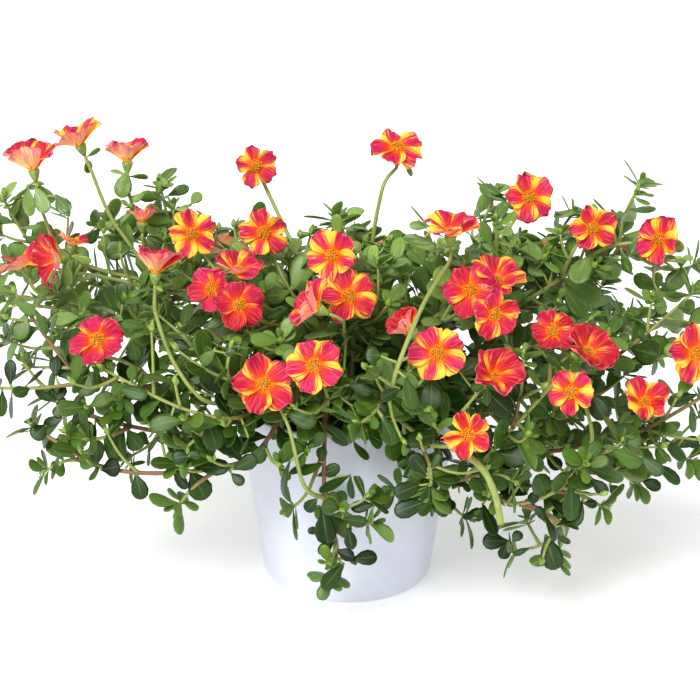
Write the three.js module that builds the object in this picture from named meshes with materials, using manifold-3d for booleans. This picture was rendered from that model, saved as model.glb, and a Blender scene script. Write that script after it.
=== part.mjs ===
// A potted portulaca: a plain round pot, its soil, leafy stems that arch and trail over the rim,
// and striped five-petalled blooms on their tips. Millimetres, +Z up, the pot's base on Z = 0, front at -Y.
import * as THREE from "three";
import { mergeVertices } from "three/addons/utils/BufferGeometryUtils.js";
import Module from "manifold-3d";

const wasm = await Module();
wasm.setup();

// ---- Driving dimensions ----

const seatGap = 0.3; // between pieces that touch
const pot = { height: 112, baseRadius: 49, rimRadius: 65, wall: 2.4, floor: 3, corner: 5, sides: 32 };
const soil = { below: 9, sides: 16, holeDepth: 12, holePlay: 0.9, holeSides: 5 };
const stem = { mainRadius: 1.8, mainSides: 4, shootRadius: 1.5, shootSides: 3, upright: 9, facet: 24 };
const step = 4; // between the samples of a stem's run
const leaf = { length: 20, width: 0.56, thickness: 1.3, fold: 0.07, sunk: 0.5, rootHeight: 0.7 };
const leafing = { first: 54, spacing: 140, tip: 14 }; // along a stem: the first leaf, then on to near the tip
const rosette = { leaves: 3, budLength: 6.5, budRadius: 2, budMiddle: 2.2, neck: 3.3, foot: 1, thickness: 1 };
const petal = { count: 5, width: 0.98, thickness: 0.9, twist: 13, wave: 0.06, hollow: 0.07, openest: 18 };
const heart = { depth: 5.5, footRadius: 1.9, radius: 2.9, rim: 0.4, crownRadius: 2.2, crown: 2.8, dip: 1.6 };
const stalkGap = 0.6; // from a bloom's foot to the end of its stalk

const colours = {
  pot: 0xe6eaed,
  soil: 0x3a2a20,
  leaf: 0x4b7a2e,
  bloom: 0xe8355f,
};

// ---- The layout sheet ----
// Places are read off a sheet that shows the plant from the front and a little above. [across, up, back] is
// mm right of the pot's axis, mm up the sheet from the middle of the pot's base, and mm behind the axis.

const sheet = { tilt: (20 * Math.PI) / 180, distance: 1500, eye: [1.6, 131.7] };
const sheetUp = new THREE.Vector3(0, Math.sin(sheet.tilt), Math.cos(sheet.tilt));
const sheetIn = new THREE.Vector3(0, Math.cos(sheet.tilt), -Math.sin(sheet.tilt));

// The place in space of a point on the sheet: lines of sight spread from an eye at the sheet's distance.
function place([across, up, back]) {
  const [eyeAcross, eyeUp] = sheet.eye;
  const sine = Math.sin(sheet.tilt);
  const inward = (back - sine * up) / (Math.cos(sheet.tilt) + (sine * (up - eyeUp)) / sheet.distance);
  const spread = 1 + inward / sheet.distance;
  const point = new THREE.Vector3(eyeAcross + (across - eyeAcross) * spread, 0, 0);
  point.addScaledVector(sheetUp, eyeUp + (up - eyeUp) * spread);
  return point.addScaledVector(sheetIn, inward);
}

// The unit direction in space of [right, up, out] on the sheet, with out towards the eye.
function facing([right, up, out]) {
  const direction = new THREE.Vector3(right, 0, 0).addScaledVector(sheetUp, up);
  return direction.addScaledVector(sheetIn, -out).normalize();
}

// A plain linear congruential draw from 0 to 1, so that the plant grows alike each time.
function drawFrom(seed) {
  let state = seed >>> 0;
  return () => {
    state = (Math.imul(state, 1664525) + 1013904223) >>> 0;
    return state / 4294967296;
  };
}

// ---- Blooms: where the heart sits, which way it faces, petal length, and how far the petals are raised ----

const blooms = {
  1: { at: [-188, 239, 38], faces: [-0.15, 0.95, 0.25], petal: 18, raised: 30 },
  2: { at: [-160, 254, 58], faces: [-0.35, 0.85, 0.3], petal: 15.5, raised: 38 },
  3: { at: [-132, 244, 70], faces: [0, 1, 0.1], petal: 15, raised: 42 },
  4: { at: [-193, 181, 0], faces: [-0.35, 0.9, 0.2], petal: 16, raised: 22 },
  5: { at: [-172, 187, -20], faces: [-0.85, -0.1, 0.4], petal: 16, raised: 35 },
  6: { at: [-115, 177, -45], faces: [0.05, 1, 0.15], petal: 15.5, raised: 54 },
  7: { at: [-150, 137, -88], faces: [0, 0.5, 0.85], petal: 14.5, raised: 6 },
  8: { at: [-93, 201, -2], faces: [0.05, 0.15, 1], petal: 14, raised: 20 },
  9: { at: [-55, 242, 55], faces: [0, 0, 1], petal: 12.5, raised: 14 },
  10: { at: [-50, 202, -12], faces: [0.05, 0, 1], petal: 14, raised: 20 },
  11: { at: [-80, 168, -64], faces: [-0.45, 0.15, 0.85], petal: 14, raised: 25 },
  12: { at: [-66, 177, -66], faces: [0.1, 0.8, 0.5], petal: 13, raised: 30 },
  13: { at: [-65, 159, -80], faces: [0.18, -0.05, 1], petal: 13.5, raised: 18 },
  14: { at: [-8, 188, -58], faces: [-0.4, 0.15, 0.9], petal: 15.5, raised: 24 },
  15: { at: [1, 164, -68], faces: [0, 0.1, 1], petal: 15, raised: 20 },
  16: { at: [-17, 156, -92], faces: [-0.8, 0.35, 0.3], petal: 15, raised: 34 },
  17: { at: [-50, 111, -110], faces: [0, 0.1, 1], petal: 16.5, raised: 18 },
  18: { at: [-20, 123, -112], faces: [-0.08, -0.08, 1], petal: 14.5, raised: 16 },
  19: { at: [30, 252, 60], faces: [0, 0.7, 0.7], petal: 15, raised: 12 },
  20: { at: [62, 200, -62], faces: [0, 0.85, 0.5], petal: 14.5, raised: 42 },
  21: { at: [39, 142, -96], faces: [-0.6, 0.6, 0.3], petal: 13, raised: 62 },
  22: { at: [54, 130, -114], faces: [0, 0.05, 1], petal: 15.3, raised: 14 },
  23: { at: [74, 167, -77], faces: [-0.15, 0.28, 0.95], petal: 15.3, raised: 20 },
  24: { at: [89, 172, -66], faces: [0.3, 0.7, 0.6], petal: 15, raised: 30 },
  25: { at: [88, 154, -95], faces: [0.2, -0.3, 0.95], petal: 14, raised: 24 },
  26: { at: [87, 115, -116], faces: [0.3, 0.35, 0.75], petal: 16, raised: 46 },
  27: { at: [73, 80, -130], faces: [-0.2, 0.3, 0.9], petal: 14, raised: 34 },
  28: { at: [109, 223, 40], faces: [0.05, 0.05, 1], petal: 14, raised: 20 },
  29: { at: [147, 205, 24], faces: [0, -0.15, 0.95], petal: 14, raised: 20 },
  30: { at: [188, 198, 18], faces: [-0.6, 0, 0.8], petal: 14.5, raised: 18 },
  31: { at: [123, 143, -79], faces: [-0.05, 0.1, 1], petal: 12.3, raised: 20 },
  32: { at: [143, 129, -84], faces: [0.35, 0.5, 0.6], petal: 15.5, raised: 44 },
  33: { at: [135, 107, -104], faces: [-0.3, -0.15, 0.95], petal: 13, raised: 20 },
  34: { at: [178, 99, -74], faces: [0.05, 0.45, 0.85], petal: 15, raised: 38 },
  35: { at: [208, 130, -50], faces: [0.15, -0.1, 0.95], petal: 16, raised: 24 },
  36: { at: [-123, 208, 48], faces: [0, 0.9, 0.3], petal: 12, raised: 50 },
  37: { at: [-165, 194, 28], faces: [0.2, 0.9, 0.2], petal: 10.5, raised: 40 },
  38: { at: [-72, 192, 128], faces: [-0.3, 0.85, -0.45], petal: 16, raised: 24 },
  39: { at: [22, 186, 146], faces: [0.05, 0.6, -0.75], petal: 16, raised: 20 },
  40: { at: [118, 186, 116], faces: [0.35, 0.85, -0.35], petal: 16, raised: 28 },
};

// Blooms that lean on one another grow into one node.
const leaningBlooms = [
  [12, 13],
  [14, 15],
  [17, 18],
  [23, 24],
  [31, 32],
];

// ---- Stems: where each stands in the soil, the points it passes and what is at its end ----
// end is a bloom's number, or the place of a leafy tip. A shoot leaves its stem at a share of the stem's
// length. A cut shoot ends bare.

const stems = [
  {
    hole: [-26, 14],
    via: [[-55, 148, 25], [-105, 172, 42], [-138, 205, 50]],
    end: 2,
    shoots: [
      { from: 0.55, via: [[-165, 186, 42], [-182, 212, 40]], end: 1 },
      { from: 0.48, via: [[-148, 176, 32]], end: 37 },
      { from: 0.45, via: [[-150, 170, 56], [-185, 190, 58]], end: [-205, 220, 52] },
    ],
  },
  {
    hole: [-16, 26],
    via: [[-45, 155, 38], [-88, 178, 62], [-122, 206, 70]],
    end: 3,
    shoots: [
      { from: 0.5, via: [[-112, 190, 56]], end: 36 },
      { from: 0.58, via: [[-105, 205, 74]], end: [-112, 229, 78] },
      { from: 0.62, via: [[-128, 200, 92]], end: [-148, 205, 104] },
    ],
  },
  {
    hole: [-38, 0],
    via: [[-70, 130, -8], [-115, 144, -12], [-155, 158, -6]],
    end: 4,
    shoots: [
      { from: 0.78, via: [[-166, 170, -14]], end: 5 },
      { from: 0.7, via: [[-185, 158, -10]], end: [-205, 161, -14] },
      { from: 0.5, via: [[-118, 150, 8]], end: [-126, 149, 22] },
    ],
  },
  {
    hole: [-36, -16],
    via: [[-68, 112, -48], [-110, 108, -66], [-150, 115, -74], [-166, 121, -74]],
    end: [-199, 165, -64],
    shoots: [
      { from: 0.66, via: [[-185, 109, -78]], end: [-210, 109, -76] },
      { from: 0.5, via: [[-132, 124, -80]], end: 7 },
      { from: 0.32, via: [[-88, 128, -66]], end: [-98, 142, -70] },
    ],
  },
  {
    hole: [-28, -25],
    via: [[-54, 106, -66], [-83, 100, -98], [-103, 122, -88], [-114, 150, -66]],
    end: 6,
    shoots: [
      { from: 0.3, via: [[-66, 91, -104], [-100, 97, -106]], end: [-146, 120, -98] },
      { from: 0.36, via: [[-84, 84, -108]], end: [-96, 74, -110] },
      { from: 0.42, via: [[-72, 118, -104]], end: [-70, 132, -106] },
    ],
  },
  {
    hole: [-19, -40],
    via: [[-36, 94, -74], [-60, 66, -90], [-107, 58, -90], [-145, 61, -84], [-170, 74, -78]],
    end: [-187, 85, -74],
    shoots: [
      { from: 0.5, via: [[-92, 50, -96]], end: [-100, 40, -94] },
      { from: 0.78, via: [[-166, 66, -74]], end: [-180, 60, -70] },
    ],
  },
  {
    hole: [-36, -28],
    via: [[-62, 96, -56], [-95, 82, -74], [-130, 86, -76], [-158, 94, -72]],
    end: [-176, 104, -70],
    shoots: [
      { from: 0.72, via: [[-142, 80, -84]], end: [-154, 78, -90] },
    ],
  },
  {
    hole: [-13, -12],
    via: [[-30, 142, -26], [-50, 158, -44]],
    end: 12,
    shoots: [
      { from: 0.62, via: [[-66, 160, -48]], end: 11 },
      { from: 0.55, via: [[-50, 148, -62]], end: 13 },
      { from: 0.45, via: [[-70, 170, -14]], end: 8 },
      { from: 0.5, via: [[-78, 164, -20]], end: [-102, 180, -14] },
      { from: 0.35, via: [[-34, 128, -60]], end: [-40, 136, -88] },
    ],
  },
  {
    hole: [-6, 10],
    via: [[-16, 150, 12], [-28, 184, 32], [-39, 208, 45]],
    end: 9,
    shoots: [
      { from: 0.36, via: [[-28, 158, -10], [-40, 178, -10]], end: 10 },
      { from: 0.42, via: [[-58, 184, 20]], end: [-82, 196, 22] },
      { from: 0.5, via: [[-40, 190, 62]], end: [-52, 202, 84] },
      { from: 0.5, via: [[-8, 190, 42]], end: [-2, 206, 46] },
    ],
  },
  {
    hole: [2, -8],
    via: [[4, 144, -20], [3, 165, -34]],
    end: 14,
    shoots: [
      { from: 0.62, via: [[8, 152, -52]], end: 15 },
      { from: 0.5, via: [[-2, 140, -66]], end: 16 },
      { from: 0.7, via: [[6, 186, -18]], end: [-6, 208, -6] },
      { from: 0.55, via: [[16, 150, -50]], end: [24, 158, -70] },
    ],
  },
  {
    hole: [-11, -39],
    via: [[-13, 96, -74], [-14, 64, -94], [-13, 36, -98], [-6, 14, -94]],
    end: [-10, -4, -88],
    shoots: [
      { from: 0.66, via: [[-26, 50, -110], [-36, 88, -114]], end: 17 },
      { from: 0.3, via: [[-12, 104, -98]], end: 18 },
      { from: 0.66, via: [[2, 32, -98]], end: [12, 28, -96] },
      { from: 0.5, via: [[-24, 46, -96]], end: [-32, 38, -96] },
    ],
  },
  {
    hole: [10, 20],
    via: [[12, 150, 32], [14, 190, 48], [22, 232, 57]],
    end: 19,
    shoots: [
      { from: 0.48, via: [[38, 190, 46]], end: [50, 203, 50] },
      { from: 0.42, via: [[20, 178, 76]], end: [30, 186, 104] },
      { from: 0.38, via: [[32, 180, 56]], end: [52, 190, 74] },
      { from: 0.22, via: [[6, 154, 38]], end: [10, 166, 40] },
    ],
  },
  {
    hole: [14, -31],
    via: [[22, 104, -78], [26, 106, -118], [31, 124, -130], [46, 160, -104]],
    end: 20,
    shoots: [
      { from: 0.36, via: [[42, 110, -108]], end: 22 },
      { from: 0.28, via: [[30, 124, -96]], end: 21 },
      { from: 0.3, via: [[18, 96, -110]], end: [8, 88, -118] },
    ],
  },
  {
    hole: [20, -7],
    via: [[42, 142, -26], [66, 158, -46]],
    end: 24,
    shoots: [
      { from: 0.6, via: [[60, 150, -56]], end: 23 },
      { from: 0.66, via: [[84, 146, -66]], end: 25 },
      { from: 0.5, via: [[52, 172, -20]], end: [54, 190, -24] },
      { from: 0.6, via: [[82, 174, -30]], end: [100, 190, -26] },
      { from: 0.42, via: [[36, 160, -32]], end: [28, 180, -40] },
    ],
  },
  {
    hole: [15, -39],
    via: [[28, 92, -78], [48, 76, -100], [62, 74, -118]],
    end: 27,
    shoots: [
      { from: 0.66, via: [[66, 92, -106], [78, 106, -108]], end: 26 },
      { from: 0.86, via: [[80, 62, -128], [89, 44, -130]], end: [92, 27, -127], cut: true },
      { from: 0.62, via: [[50, 60, -106]], end: [50, 49, -108] },
    ],
  },
  {
    hole: [33, -25],
    via: [[48, 97, -50], [58, 56, -76], [76, 60, -92], [102, 88, -96], [128, 116, -88]],
    end: 32,
    shoots: [
      { from: 0.84, via: [[122, 124, -76]], end: 31 },
      { from: 0.5, via: [[88, 58, -100]], end: [98, 54, -104] },
      { from: 0.72, via: [[104, 106, -96]], end: [106, 126, -98] },
      { from: 0.36, via: [[62, 40, -76]], end: [70, 32, -80] },
    ],
  },
  {
    hole: [39, -12],
    via: [
      [57, 106, -24],
      [76, 90, -42],
      [80, 58, -62],
      [96, 40, -76],
      [119, 44, -84],
      [134, 55, -88],
      [147, 78, -94],
    ],
    end: 33,
    shoots: [
      { from: 0.56, via: [[124, 30, -78], [119, 16, -72]], end: [101, 11, -68] },
      { from: 0.58, via: [[130, 26, -76]], end: [126, 10, -74] },
      { from: 0.66, via: [[142, 44, -84]], end: [152, 38, -82] },
      { from: 0.8, via: [[154, 70, -100]], end: [164, 76, -104] },
      { from: 0.2, via: [[84, 102, -50]], end: [92, 106, -58] },
    ],
  },
  {
    hole: [42, 2],
    via: [[62, 117, 0], [84, 96, -8], [112, 72, -26], [150, 76, -44], [178, 84, -50]],
    end: [212, 103, -42],
    shoots: [
      { from: 0.68, via: [[168, 88, -62]], end: 34 },
      { from: 0.6, via: [[160, 60, -50]], end: [172, 52, -50] },
      { from: 0.78, via: [[192, 74, -46]], end: [204, 66, -42] },
      { from: 0.45, via: [[112, 90, -50]], end: [122, 92, -72] },
      { from: 0.38, via: [[108, 86, -6]], end: [110, 90, 14] },
    ],
  },
  {
    hole: [31, 8],
    via: [[72, 126, 2], [120, 116, -20], [158, 122, -32], [186, 127, -40]],
    end: 35,
    shoots: [
      { from: 0.72, via: [[180, 142, -36]], end: [206, 165, -34] },
      { from: 0.58, via: [[150, 136, -22]], end: [166, 150, -20] },
      { from: 0.42, via: [[112, 134, -30]], end: [124, 120, -52] },
      { from: 0.5, via: [[130, 106, 0]], end: [160, 98, 14] },
      { from: 0.3, via: [[82, 140, -4]], end: [88, 157, -6] },
    ],
  },
  {
    hole: [24, 21],
    via: [[58, 142, 26], [110, 163, 34], [149, 190, 30], [170, 196, 26]],
    end: 30,
    shoots: [
      { from: 0.42, via: [[86, 188, 38], [98, 206, 42]], end: 28 },
      { from: 0.64, via: [[136, 192, 24]], end: 29 },
      { from: 0.6, via: [[158, 186, 42], [166, 212, 46]], end: [175, 230, 48] },
      { from: 0.82, via: [[190, 180, 34]], end: [207, 182, 34] },
      { from: 0.46, via: [[118, 190, 58]], end: [134, 212, 62] },
      { from: 0.36, via: [[78, 196, 52]], end: [88, 224, 58] },
      { from: 0.46, via: [[118, 158, 44]], end: [127, 152, 54] },
    ],
  },
  {
    hole: [-24, 33],
    via: [[-58, 164, 78], [-98, 164, 108]],
    end: [-140, 146, 128],
    shoots: [
      { from: 0.42, via: [[-66, 174, 104]], end: 38 },
      { from: 0.6, via: [[-116, 172, 88]], end: [-150, 172, 92] },
      { from: 0.6, via: [[-96, 150, 128]], end: [-104, 130, 146] },
      { from: 0.75, via: [[-140, 158, 100]], end: [-172, 142, 84] },
      { from: 0.6, via: [[-98, 184, 104]], end: [-104, 203, 106] },
    ],
  },
  {
    hole: [-3, 40],
    via: [[-8, 160, 86], [-16, 158, 122]],
    end: [-24, 138, 154],
    shoots: [
      { from: 0.5, via: [[8, 166, 122]], end: 39 },
      { from: 0.55, via: [[-34, 164, 116]], end: [-52, 150, 146] },
      { from: 0.55, via: [[16, 148, 120]], end: [34, 132, 138] },
      { from: 0.35, via: [[-4, 142, 92]], end: [2, 116, 112] },
      { from: 0.62, via: [[0, 150, 138]], end: [9, 142, 162] },
    ],
  },
  {
    hole: [25, 33],
    via: [[60, 164, 72], [98, 160, 98]],
    end: [144, 146, 112],
    shoots: [
      { from: 0.5, via: [[98, 170, 104]], end: 40 },
      { from: 0.62, via: [[124, 160, 76]], end: [168, 150, 66] },
      { from: 0.55, via: [[84, 150, 112]], end: [86, 132, 140] },
      { from: 0.78, via: [[150, 150, 92]], end: [184, 134, 74] },
      { from: 0.6, via: [[84, 172, 108]], end: [80, 184, 124] },
    ],
  },
];

// ---- Solids ----

// The solid of a closed three.js geometry.
function solidOf(geometry) {
  const plain = new THREE.BufferGeometry();
  const source = geometry.index ? geometry.toNonIndexed() : geometry;
  plain.setAttribute("position", source.getAttribute("position"));
  const merged = mergeVertices(plain, 1e-4);
  const mesh = new wasm.Mesh({
    numProp: 3,
    vertProperties: new Float32Array(merged.getAttribute("position").array),
    triVerts: new Uint32Array(merged.index.array),
  });
  return new wasm.Manifold(mesh);
}

// Joins solids into one, with short edges collapsed, and keeps its largest body: a sealed hollow or a loose
// scrap is a body of its own and is dropped.
function fuse(solids) {
  const tidy = 0.25;
  const bodies = wasm.Manifold.union(solids).simplify(tidy).decompose();
  return bodies.reduce((largest, body) => (body.volume() > largest.volume() ? body : largest));
}

// A named mesh of a solid.
function meshOf(name, solid, colour, roughness) {
  const made = solid.getMesh();
  const geometry = new THREE.BufferGeometry();
  geometry.setAttribute("position", new THREE.BufferAttribute(made.vertProperties.slice(), 3));
  geometry.setIndex(new THREE.BufferAttribute(made.triVerts.slice(), 1));
  const faceted = geometry.toNonIndexed();
  faceted.computeVertexNormals();
  const material = new THREE.MeshStandardMaterial({ color: colour, roughness, metalness: 0 });
  const mesh = new THREE.Mesh(faceted, material);
  mesh.name = name;
  return mesh;
}

// ---- Pot and soil ----

const soilTop = pot.height - soil.below;

// The pot wall's outer radius at a height.
function potRadius(height) {
  return pot.baseRadius + ((pot.rimRadius - pot.baseRadius) * height) / pot.height;
}

// A closed profile turned about the upright axis. It runs anticlockwise: up the outside, down the inside.
function turned(profile, sides) {
  const points = profile.map(([radius, height]) => new THREE.Vector2(radius, height));
  return solidOf(new THREE.LatheGeometry(points, sides).rotateX(Math.PI / 2));
}

function makePot() {
  const { height, baseRadius, rimRadius, wall, floor, corner, sides } = pot;
  const innerFoot = potRadius(floor) - wall;
  const profile = [
    [0, 0],
    [baseRadius - corner, 0],
    [baseRadius - corner * 0.32 + 0.2, corner * 0.3],
    [potRadius(corner), corner],
    [rimRadius, height - wall / 2],
    [rimRadius - wall / 2, height],
    [rimRadius - wall, height - wall / 2],
    [innerFoot, floor + corner],
    [innerFoot - corner * 0.7, floor],
    [0, floor],
  ];
  return turned(profile, sides);
}

function makeSoil() {
  const clear = pot.wall + seatGap;
  const bottom = pot.floor + seatGap;
  const foot = potRadius(pot.floor) - clear;
  const profile = [
    [0, bottom],
    [foot - pot.corner, bottom],
    [foot - 0.2, bottom + pot.corner + 1],
    [potRadius(soilTop) - clear - 0.2, soilTop - 2],
    [potRadius(soilTop) - clear - 2, soilTop],
    [0, soilTop],
  ];
  const lump = turned(profile, soil.sides);
  const holes = stems.map(({ hole: [x, y] }) => {
    const radius = stem.mainRadius + soil.holePlay;
    const drill = new THREE.CylinderGeometry(radius, radius, 2 * soil.holeDepth, soil.holeSides);
    return solidOf(drill.rotateX(Math.PI / 2).translate(x, y, soilTop));
  });
  return lump.subtract(wasm.Manifold.union(holes));
}

// ---- Stem paths ----

// A smooth run through points, sampled about every step along it: a uniform Catmull-Rom spline.
function smoothRun(points) {
  const run = [];
  for (let i = 0; i + 1 < points.length; i++) {
    const a = points[Math.max(i - 1, 0)];
    const [b, c] = [points[i], points[i + 1]];
    const d = points[Math.min(i + 2, points.length - 1)];
    const parts = Math.max(1, Math.round(b.distanceTo(c) / step));
    for (let part = 0; part < parts; part++) {
      const t = part / parts;
      const weights = [
        ((2 - t) * t - 1) * t,
        (3 * t - 5) * t * t + 2,
        ((4 - 3 * t) * t + 1) * t,
        (t - 1) * t * t,
      ];
      const point = new THREE.Vector3();
      [a, b, c, d].forEach((corner, n) => point.addScaledVector(corner, weights[n] / 2));
      run.push(point);
    }
  }
  run.push(points[points.length - 1].clone());
  return run;
}

// Where a stalk meets a bloom, and the point behind it that it comes from.
function bloomSeat(number) {
  const { at, faces } = blooms[number];
  const axis = facing(faces);
  const heartAt = place(at);
  const seat = heartAt.clone().addScaledVector(axis, -heart.depth - stalkGap);
  return { seat, behind: seat.clone().addScaledVector(axis, -9), axis, heartAt };
}

// The points that a stem or shoot passes after its start.
function routeOf({ via, end }) {
  const route = via.map(place);
  if (Array.isArray(end)) return [...route, place(end)];
  const { seat, behind } = bloomSeat(end);
  return [...route, behind, seat];
}

// All stems and shoots as sampled runs. A shoot starts on a sample of its stem.
function growPaths() {
  const paths = [];
  stems.forEach((plan, node) => {
    const [x, y] = plan.hole;
    const foot = new THREE.Vector3(x, y, soilTop - soil.holeDepth + 2 * seatGap);
    const mouth = new THREE.Vector3(x, y, soilTop + stem.upright);
    const held = smoothRun([foot, mouth]).slice(0, -1);
    const main = {
      node,
      radius: stem.mainRadius,
      points: [...held, ...smoothRun([mouth, ...routeOf(plan)])],
      held: held.length + 1,
      end: plan.end,
    };
    paths.push(main);
    for (const shoot of plan.shoots) {
      const joint = Math.round(shoot.from * (main.points.length - 1));
      const start = main.points[joint].clone();
      const points = smoothRun([start, ...routeOf(shoot)]);
      const { end, cut } = shoot;
      paths.push({ node, radius: stem.shootRadius, points, held: 1, end, cut, main, joint });
    }
  });
  return paths;
}

// Stems of different nodes, and stems and other blooms, are bent clear of each other: in each round, points
// that are too near push one another apart, and the pushes are smoothed along the stem.
const clearing = { rounds: 60, space: 2.8, bloomSpace: 4.6, share: 0.5 };

// Points spread over a bloom's petals, which stems keep away from.
function bloomPoints(number) {
  const { petal: reach, raised } = blooms[number];
  const { axis, heartAt } = bloomSeat(number);
  const turn = new THREE.Quaternion().setFromUnitVectors(new THREE.Vector3(0, 0, 1), axis);
  const lift = (raised * Math.PI) / 180;
  const points = [heartAt.clone()];
  for (const [share, count] of [[0.5, 5], [0.92, 10]]) {
    for (let i = 0; i < count; i++) {
      const angle = (2 * Math.PI * i) / count;
      const out = Math.cos(lift);
      const point = new THREE.Vector3(out * Math.cos(angle), out * Math.sin(angle), Math.sin(lift));
      points.push(point.multiplyScalar(reach * share).applyQuaternion(turn).add(heartAt));
    }
  }
  return points;
}

function boxOf(points, margin) {
  return new THREE.Box3().setFromPoints(points).expandByScalar(margin);
}

function bendClear(paths) {
  const hearts = Object.keys(blooms).map((key) => {
    const points = bloomPoints(key);
    return { number: Number(key), points, box: boxOf(points, 8) };
  });
  for (let round = 0; round < clearing.rounds; round++) {
    const boxes = paths.map((path) => boxOf(path.points, 4));
    const pushes = paths.map((path) => path.points.map(() => new THREE.Vector3()));
    const apart = (point, other, need, push, back) => {
      const away = point.clone().sub(other);
      const short = need - away.length();
      if (short <= 0) return;
      away.normalize().multiplyScalar(short * clearing.share);
      push.add(away);
      if (back) back.sub(away);
    };
    for (let a = 0; a < paths.length; a++) {
      for (let b = a + 1; b < paths.length; b++) {
        if (paths[a].node === paths[b].node || !boxes[a].intersectsBox(boxes[b])) continue;
        const need = paths[a].radius + paths[b].radius + clearing.space;
        paths[a].points.forEach((point, i) =>
          paths[b].points.forEach((other, j) => apart(point, other, need, pushes[a][i], pushes[b][j])),
        );
      }
      for (const { number, points, box } of hearts) {
        if (!boxes[a].intersectsBox(box)) continue;
        const last = paths[a].points.length - (number === paths[a].end ? 5 : 0);
        for (let i = 0; i < last; i++)
          for (const other of points) apart(paths[a].points[i], other, clearing.bloomSpace, pushes[a][i]);
      }
    }
    paths.forEach((path, a) => movePath(path, pushes[a]));
  }
}

// Moves a run by its smoothed pushes. What stands in the soil or meets a bloom stays, and a shoot's start
// rides on its stem.
function movePath(path, pushes) {
  const { points, held, end, main, joint } = path;
  const ends = Array.isArray(end) ? 0 : 3;
  const last = points.length - 1;
  const smoothed = pushes.map((push, i) => {
    const sum = push.clone().multiplyScalar(0.5);
    sum.addScaledVector(pushes[Math.max(i - 1, 0)], 0.25);
    return sum.addScaledVector(pushes[Math.min(i + 1, last)], 0.25);
  });
  for (let i = held; i <= last - ends; i++) points[i].add(smoothed[i]);
  if (main) {
    const ride = main.points[joint].clone().sub(points[0]);
    for (let i = 0; i < Math.min(4, last - ends); i++) points[i].addScaledVector(ride, 1 - i / 4);
  }
}

// The samples of a run that its tube bends at, about stem.facet apart. What stands upright in the soil is a
// stretch of its own, and so is a stalk's last part, so that its end lies square to the bloom.
function knotsOf({ points, held, end }) {
  const first = held - 1;
  const last = points.length - 1;
  const tail = Array.isArray(end) ? 0 : Math.min(2, last - 1);
  const stretch = last - tail - first;
  const count = Math.max(1, Math.round((stretch * step) / stem.facet));
  const knots = Array.from({ length: count + 1 }, (_, n) => first + Math.round((stretch * n) / count));
  return [...(first ? [0] : []), ...knots, ...(tail ? [last] : [])];
}

// Straightens a run between its knots, for its tube and all that grows on it to follow.
function straighten(path) {
  const { points, knots } = path;
  path.points = points.map((_, i) => {
    const n = Math.max(1, knots.findIndex((knot) => knot >= i));
    const [from, to] = [knots[n - 1], knots[n]];
    return points[from].clone().lerp(points[to], (i - from) / (to - from));
  });
}

// A broken line through knots, each stretch of which takes the same share of the parameter.
class Run extends THREE.Curve {
  constructor(knots) {
    super();
    this.knots = knots;
  }
  getPoint(t, target = new THREE.Vector3()) {
    const along = t * (this.knots.length - 1);
    const i = Math.min(Math.floor(along), this.knots.length - 2);
    return target.copy(this.knots[i]).lerp(this.knots[i + 1], along - i);
  }
  getUtoTmapping(u) {
    return u;
  }
}

// A solid tube along a path, with a ring at each knot.
function tube({ points, knots, radius, sides }) {
  const outline = Array.from({ length: sides }, (_, i) => {
    const angle = (2 * Math.PI * i) / sides;
    return new THREE.Vector2(radius * Math.cos(angle), radius * Math.sin(angle));
  });
  const extrudePath = new Run(knots.map((knot) => points[knot]));
  const options = { steps: knots.length - 1, bevelEnabled: false, extrudePath };
  return solidOf(new THREE.ExtrudeGeometry(new THREE.Shape(outline), options));
}

// A point sunk into the side of a run's tube, on the side that faces a direction.
function rootIn(path, point, direction) {
  const beyond = point.clone().addScaledVector(direction, 3 * path.radius);
  const hits = path.tube.solid.rayCast(point.toArray(), beyond.toArray());
  if (!hits.length) return point.clone();
  return new THREE.Vector3(...hits[hits.length - 1].position).addScaledVector(direction, -leaf.sunk);
}

// Roots each shoot in the side of its stem, straightens the runs between their knots, and makes the tubes.
function makeTubes(paths) {
  for (const path of paths) {
    const { main, joint, points } = path;
    path.sides = main ? stem.shootSides : stem.mainSides;
    if (main) {
      const tangent = tangentAt(main.points, joint);
      const away = points[Math.min(3, points.length - 1)].clone().sub(main.points[joint]);
      away.addScaledVector(tangent, -away.dot(tangent)).normalize();
      points[0].copy(rootIn(main, main.points[joint], away));
    }
    path.knots = knotsOf(path);
    straighten(path);
    path.tube = boxed(tube(path));
  }
}

// ---- Leaves ----

// The outline of a leaf from one end of its root to the other, as shares of its length and its width.
const leafRim = [[0.58, -0.5], [0.96, -0.25], [0.96, 0.25], [0.58, 0.5]];
const ridgeAt = 0.6;

// A leaf is a thin blade from its root along axis, with its upper face towards normal. Both faces are cut
// into triangles alike round a ridge point and meet at the rim, and at the root they part to form a short
// upright edge. skip leaves out that share of its length at the root.
function leafSolid({ root, axis, normal, length }, skip = 0) {
  const side = new THREE.Vector3().crossVectors(normal, axis);
  const at = (along, across, height) => {
    const lift = leaf.fold * length * Math.abs(across) + height;
    const point = root.clone().addScaledVector(axis, length * (skip + (1 - skip) * along));
    return point.addScaledVector(side, length * leaf.width * across).addScaledVector(normal, lift);
  };
  const half = leaf.thickness / 2;
  const rootHalf = leaf.rootHeight / 2;
  const corners = leafRim.map(([along, across]) => at(along, across, 0));
  corners.push(at(0, 0, rootHalf), at(0, 0, -rootHalf), at(ridgeAt, 0, half), at(ridgeAt, 0, -half));
  const [over, under, top, below] = [0, 1, 2, 3].map((n) => leafRim.length + n);
  const end = leafRim.length - 1;
  const faces = [0, over, under, under, over, end];
  faces.push(over, 0, top, end, over, top, 0, under, below, under, end, below);
  for (let i = 0; i < end; i++) faces.push(i, i + 1, top, i + 1, i, below);
  return solidOf(new THREE.BufferGeometry().setFromPoints(corners).setIndex(faces));
}

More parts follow.
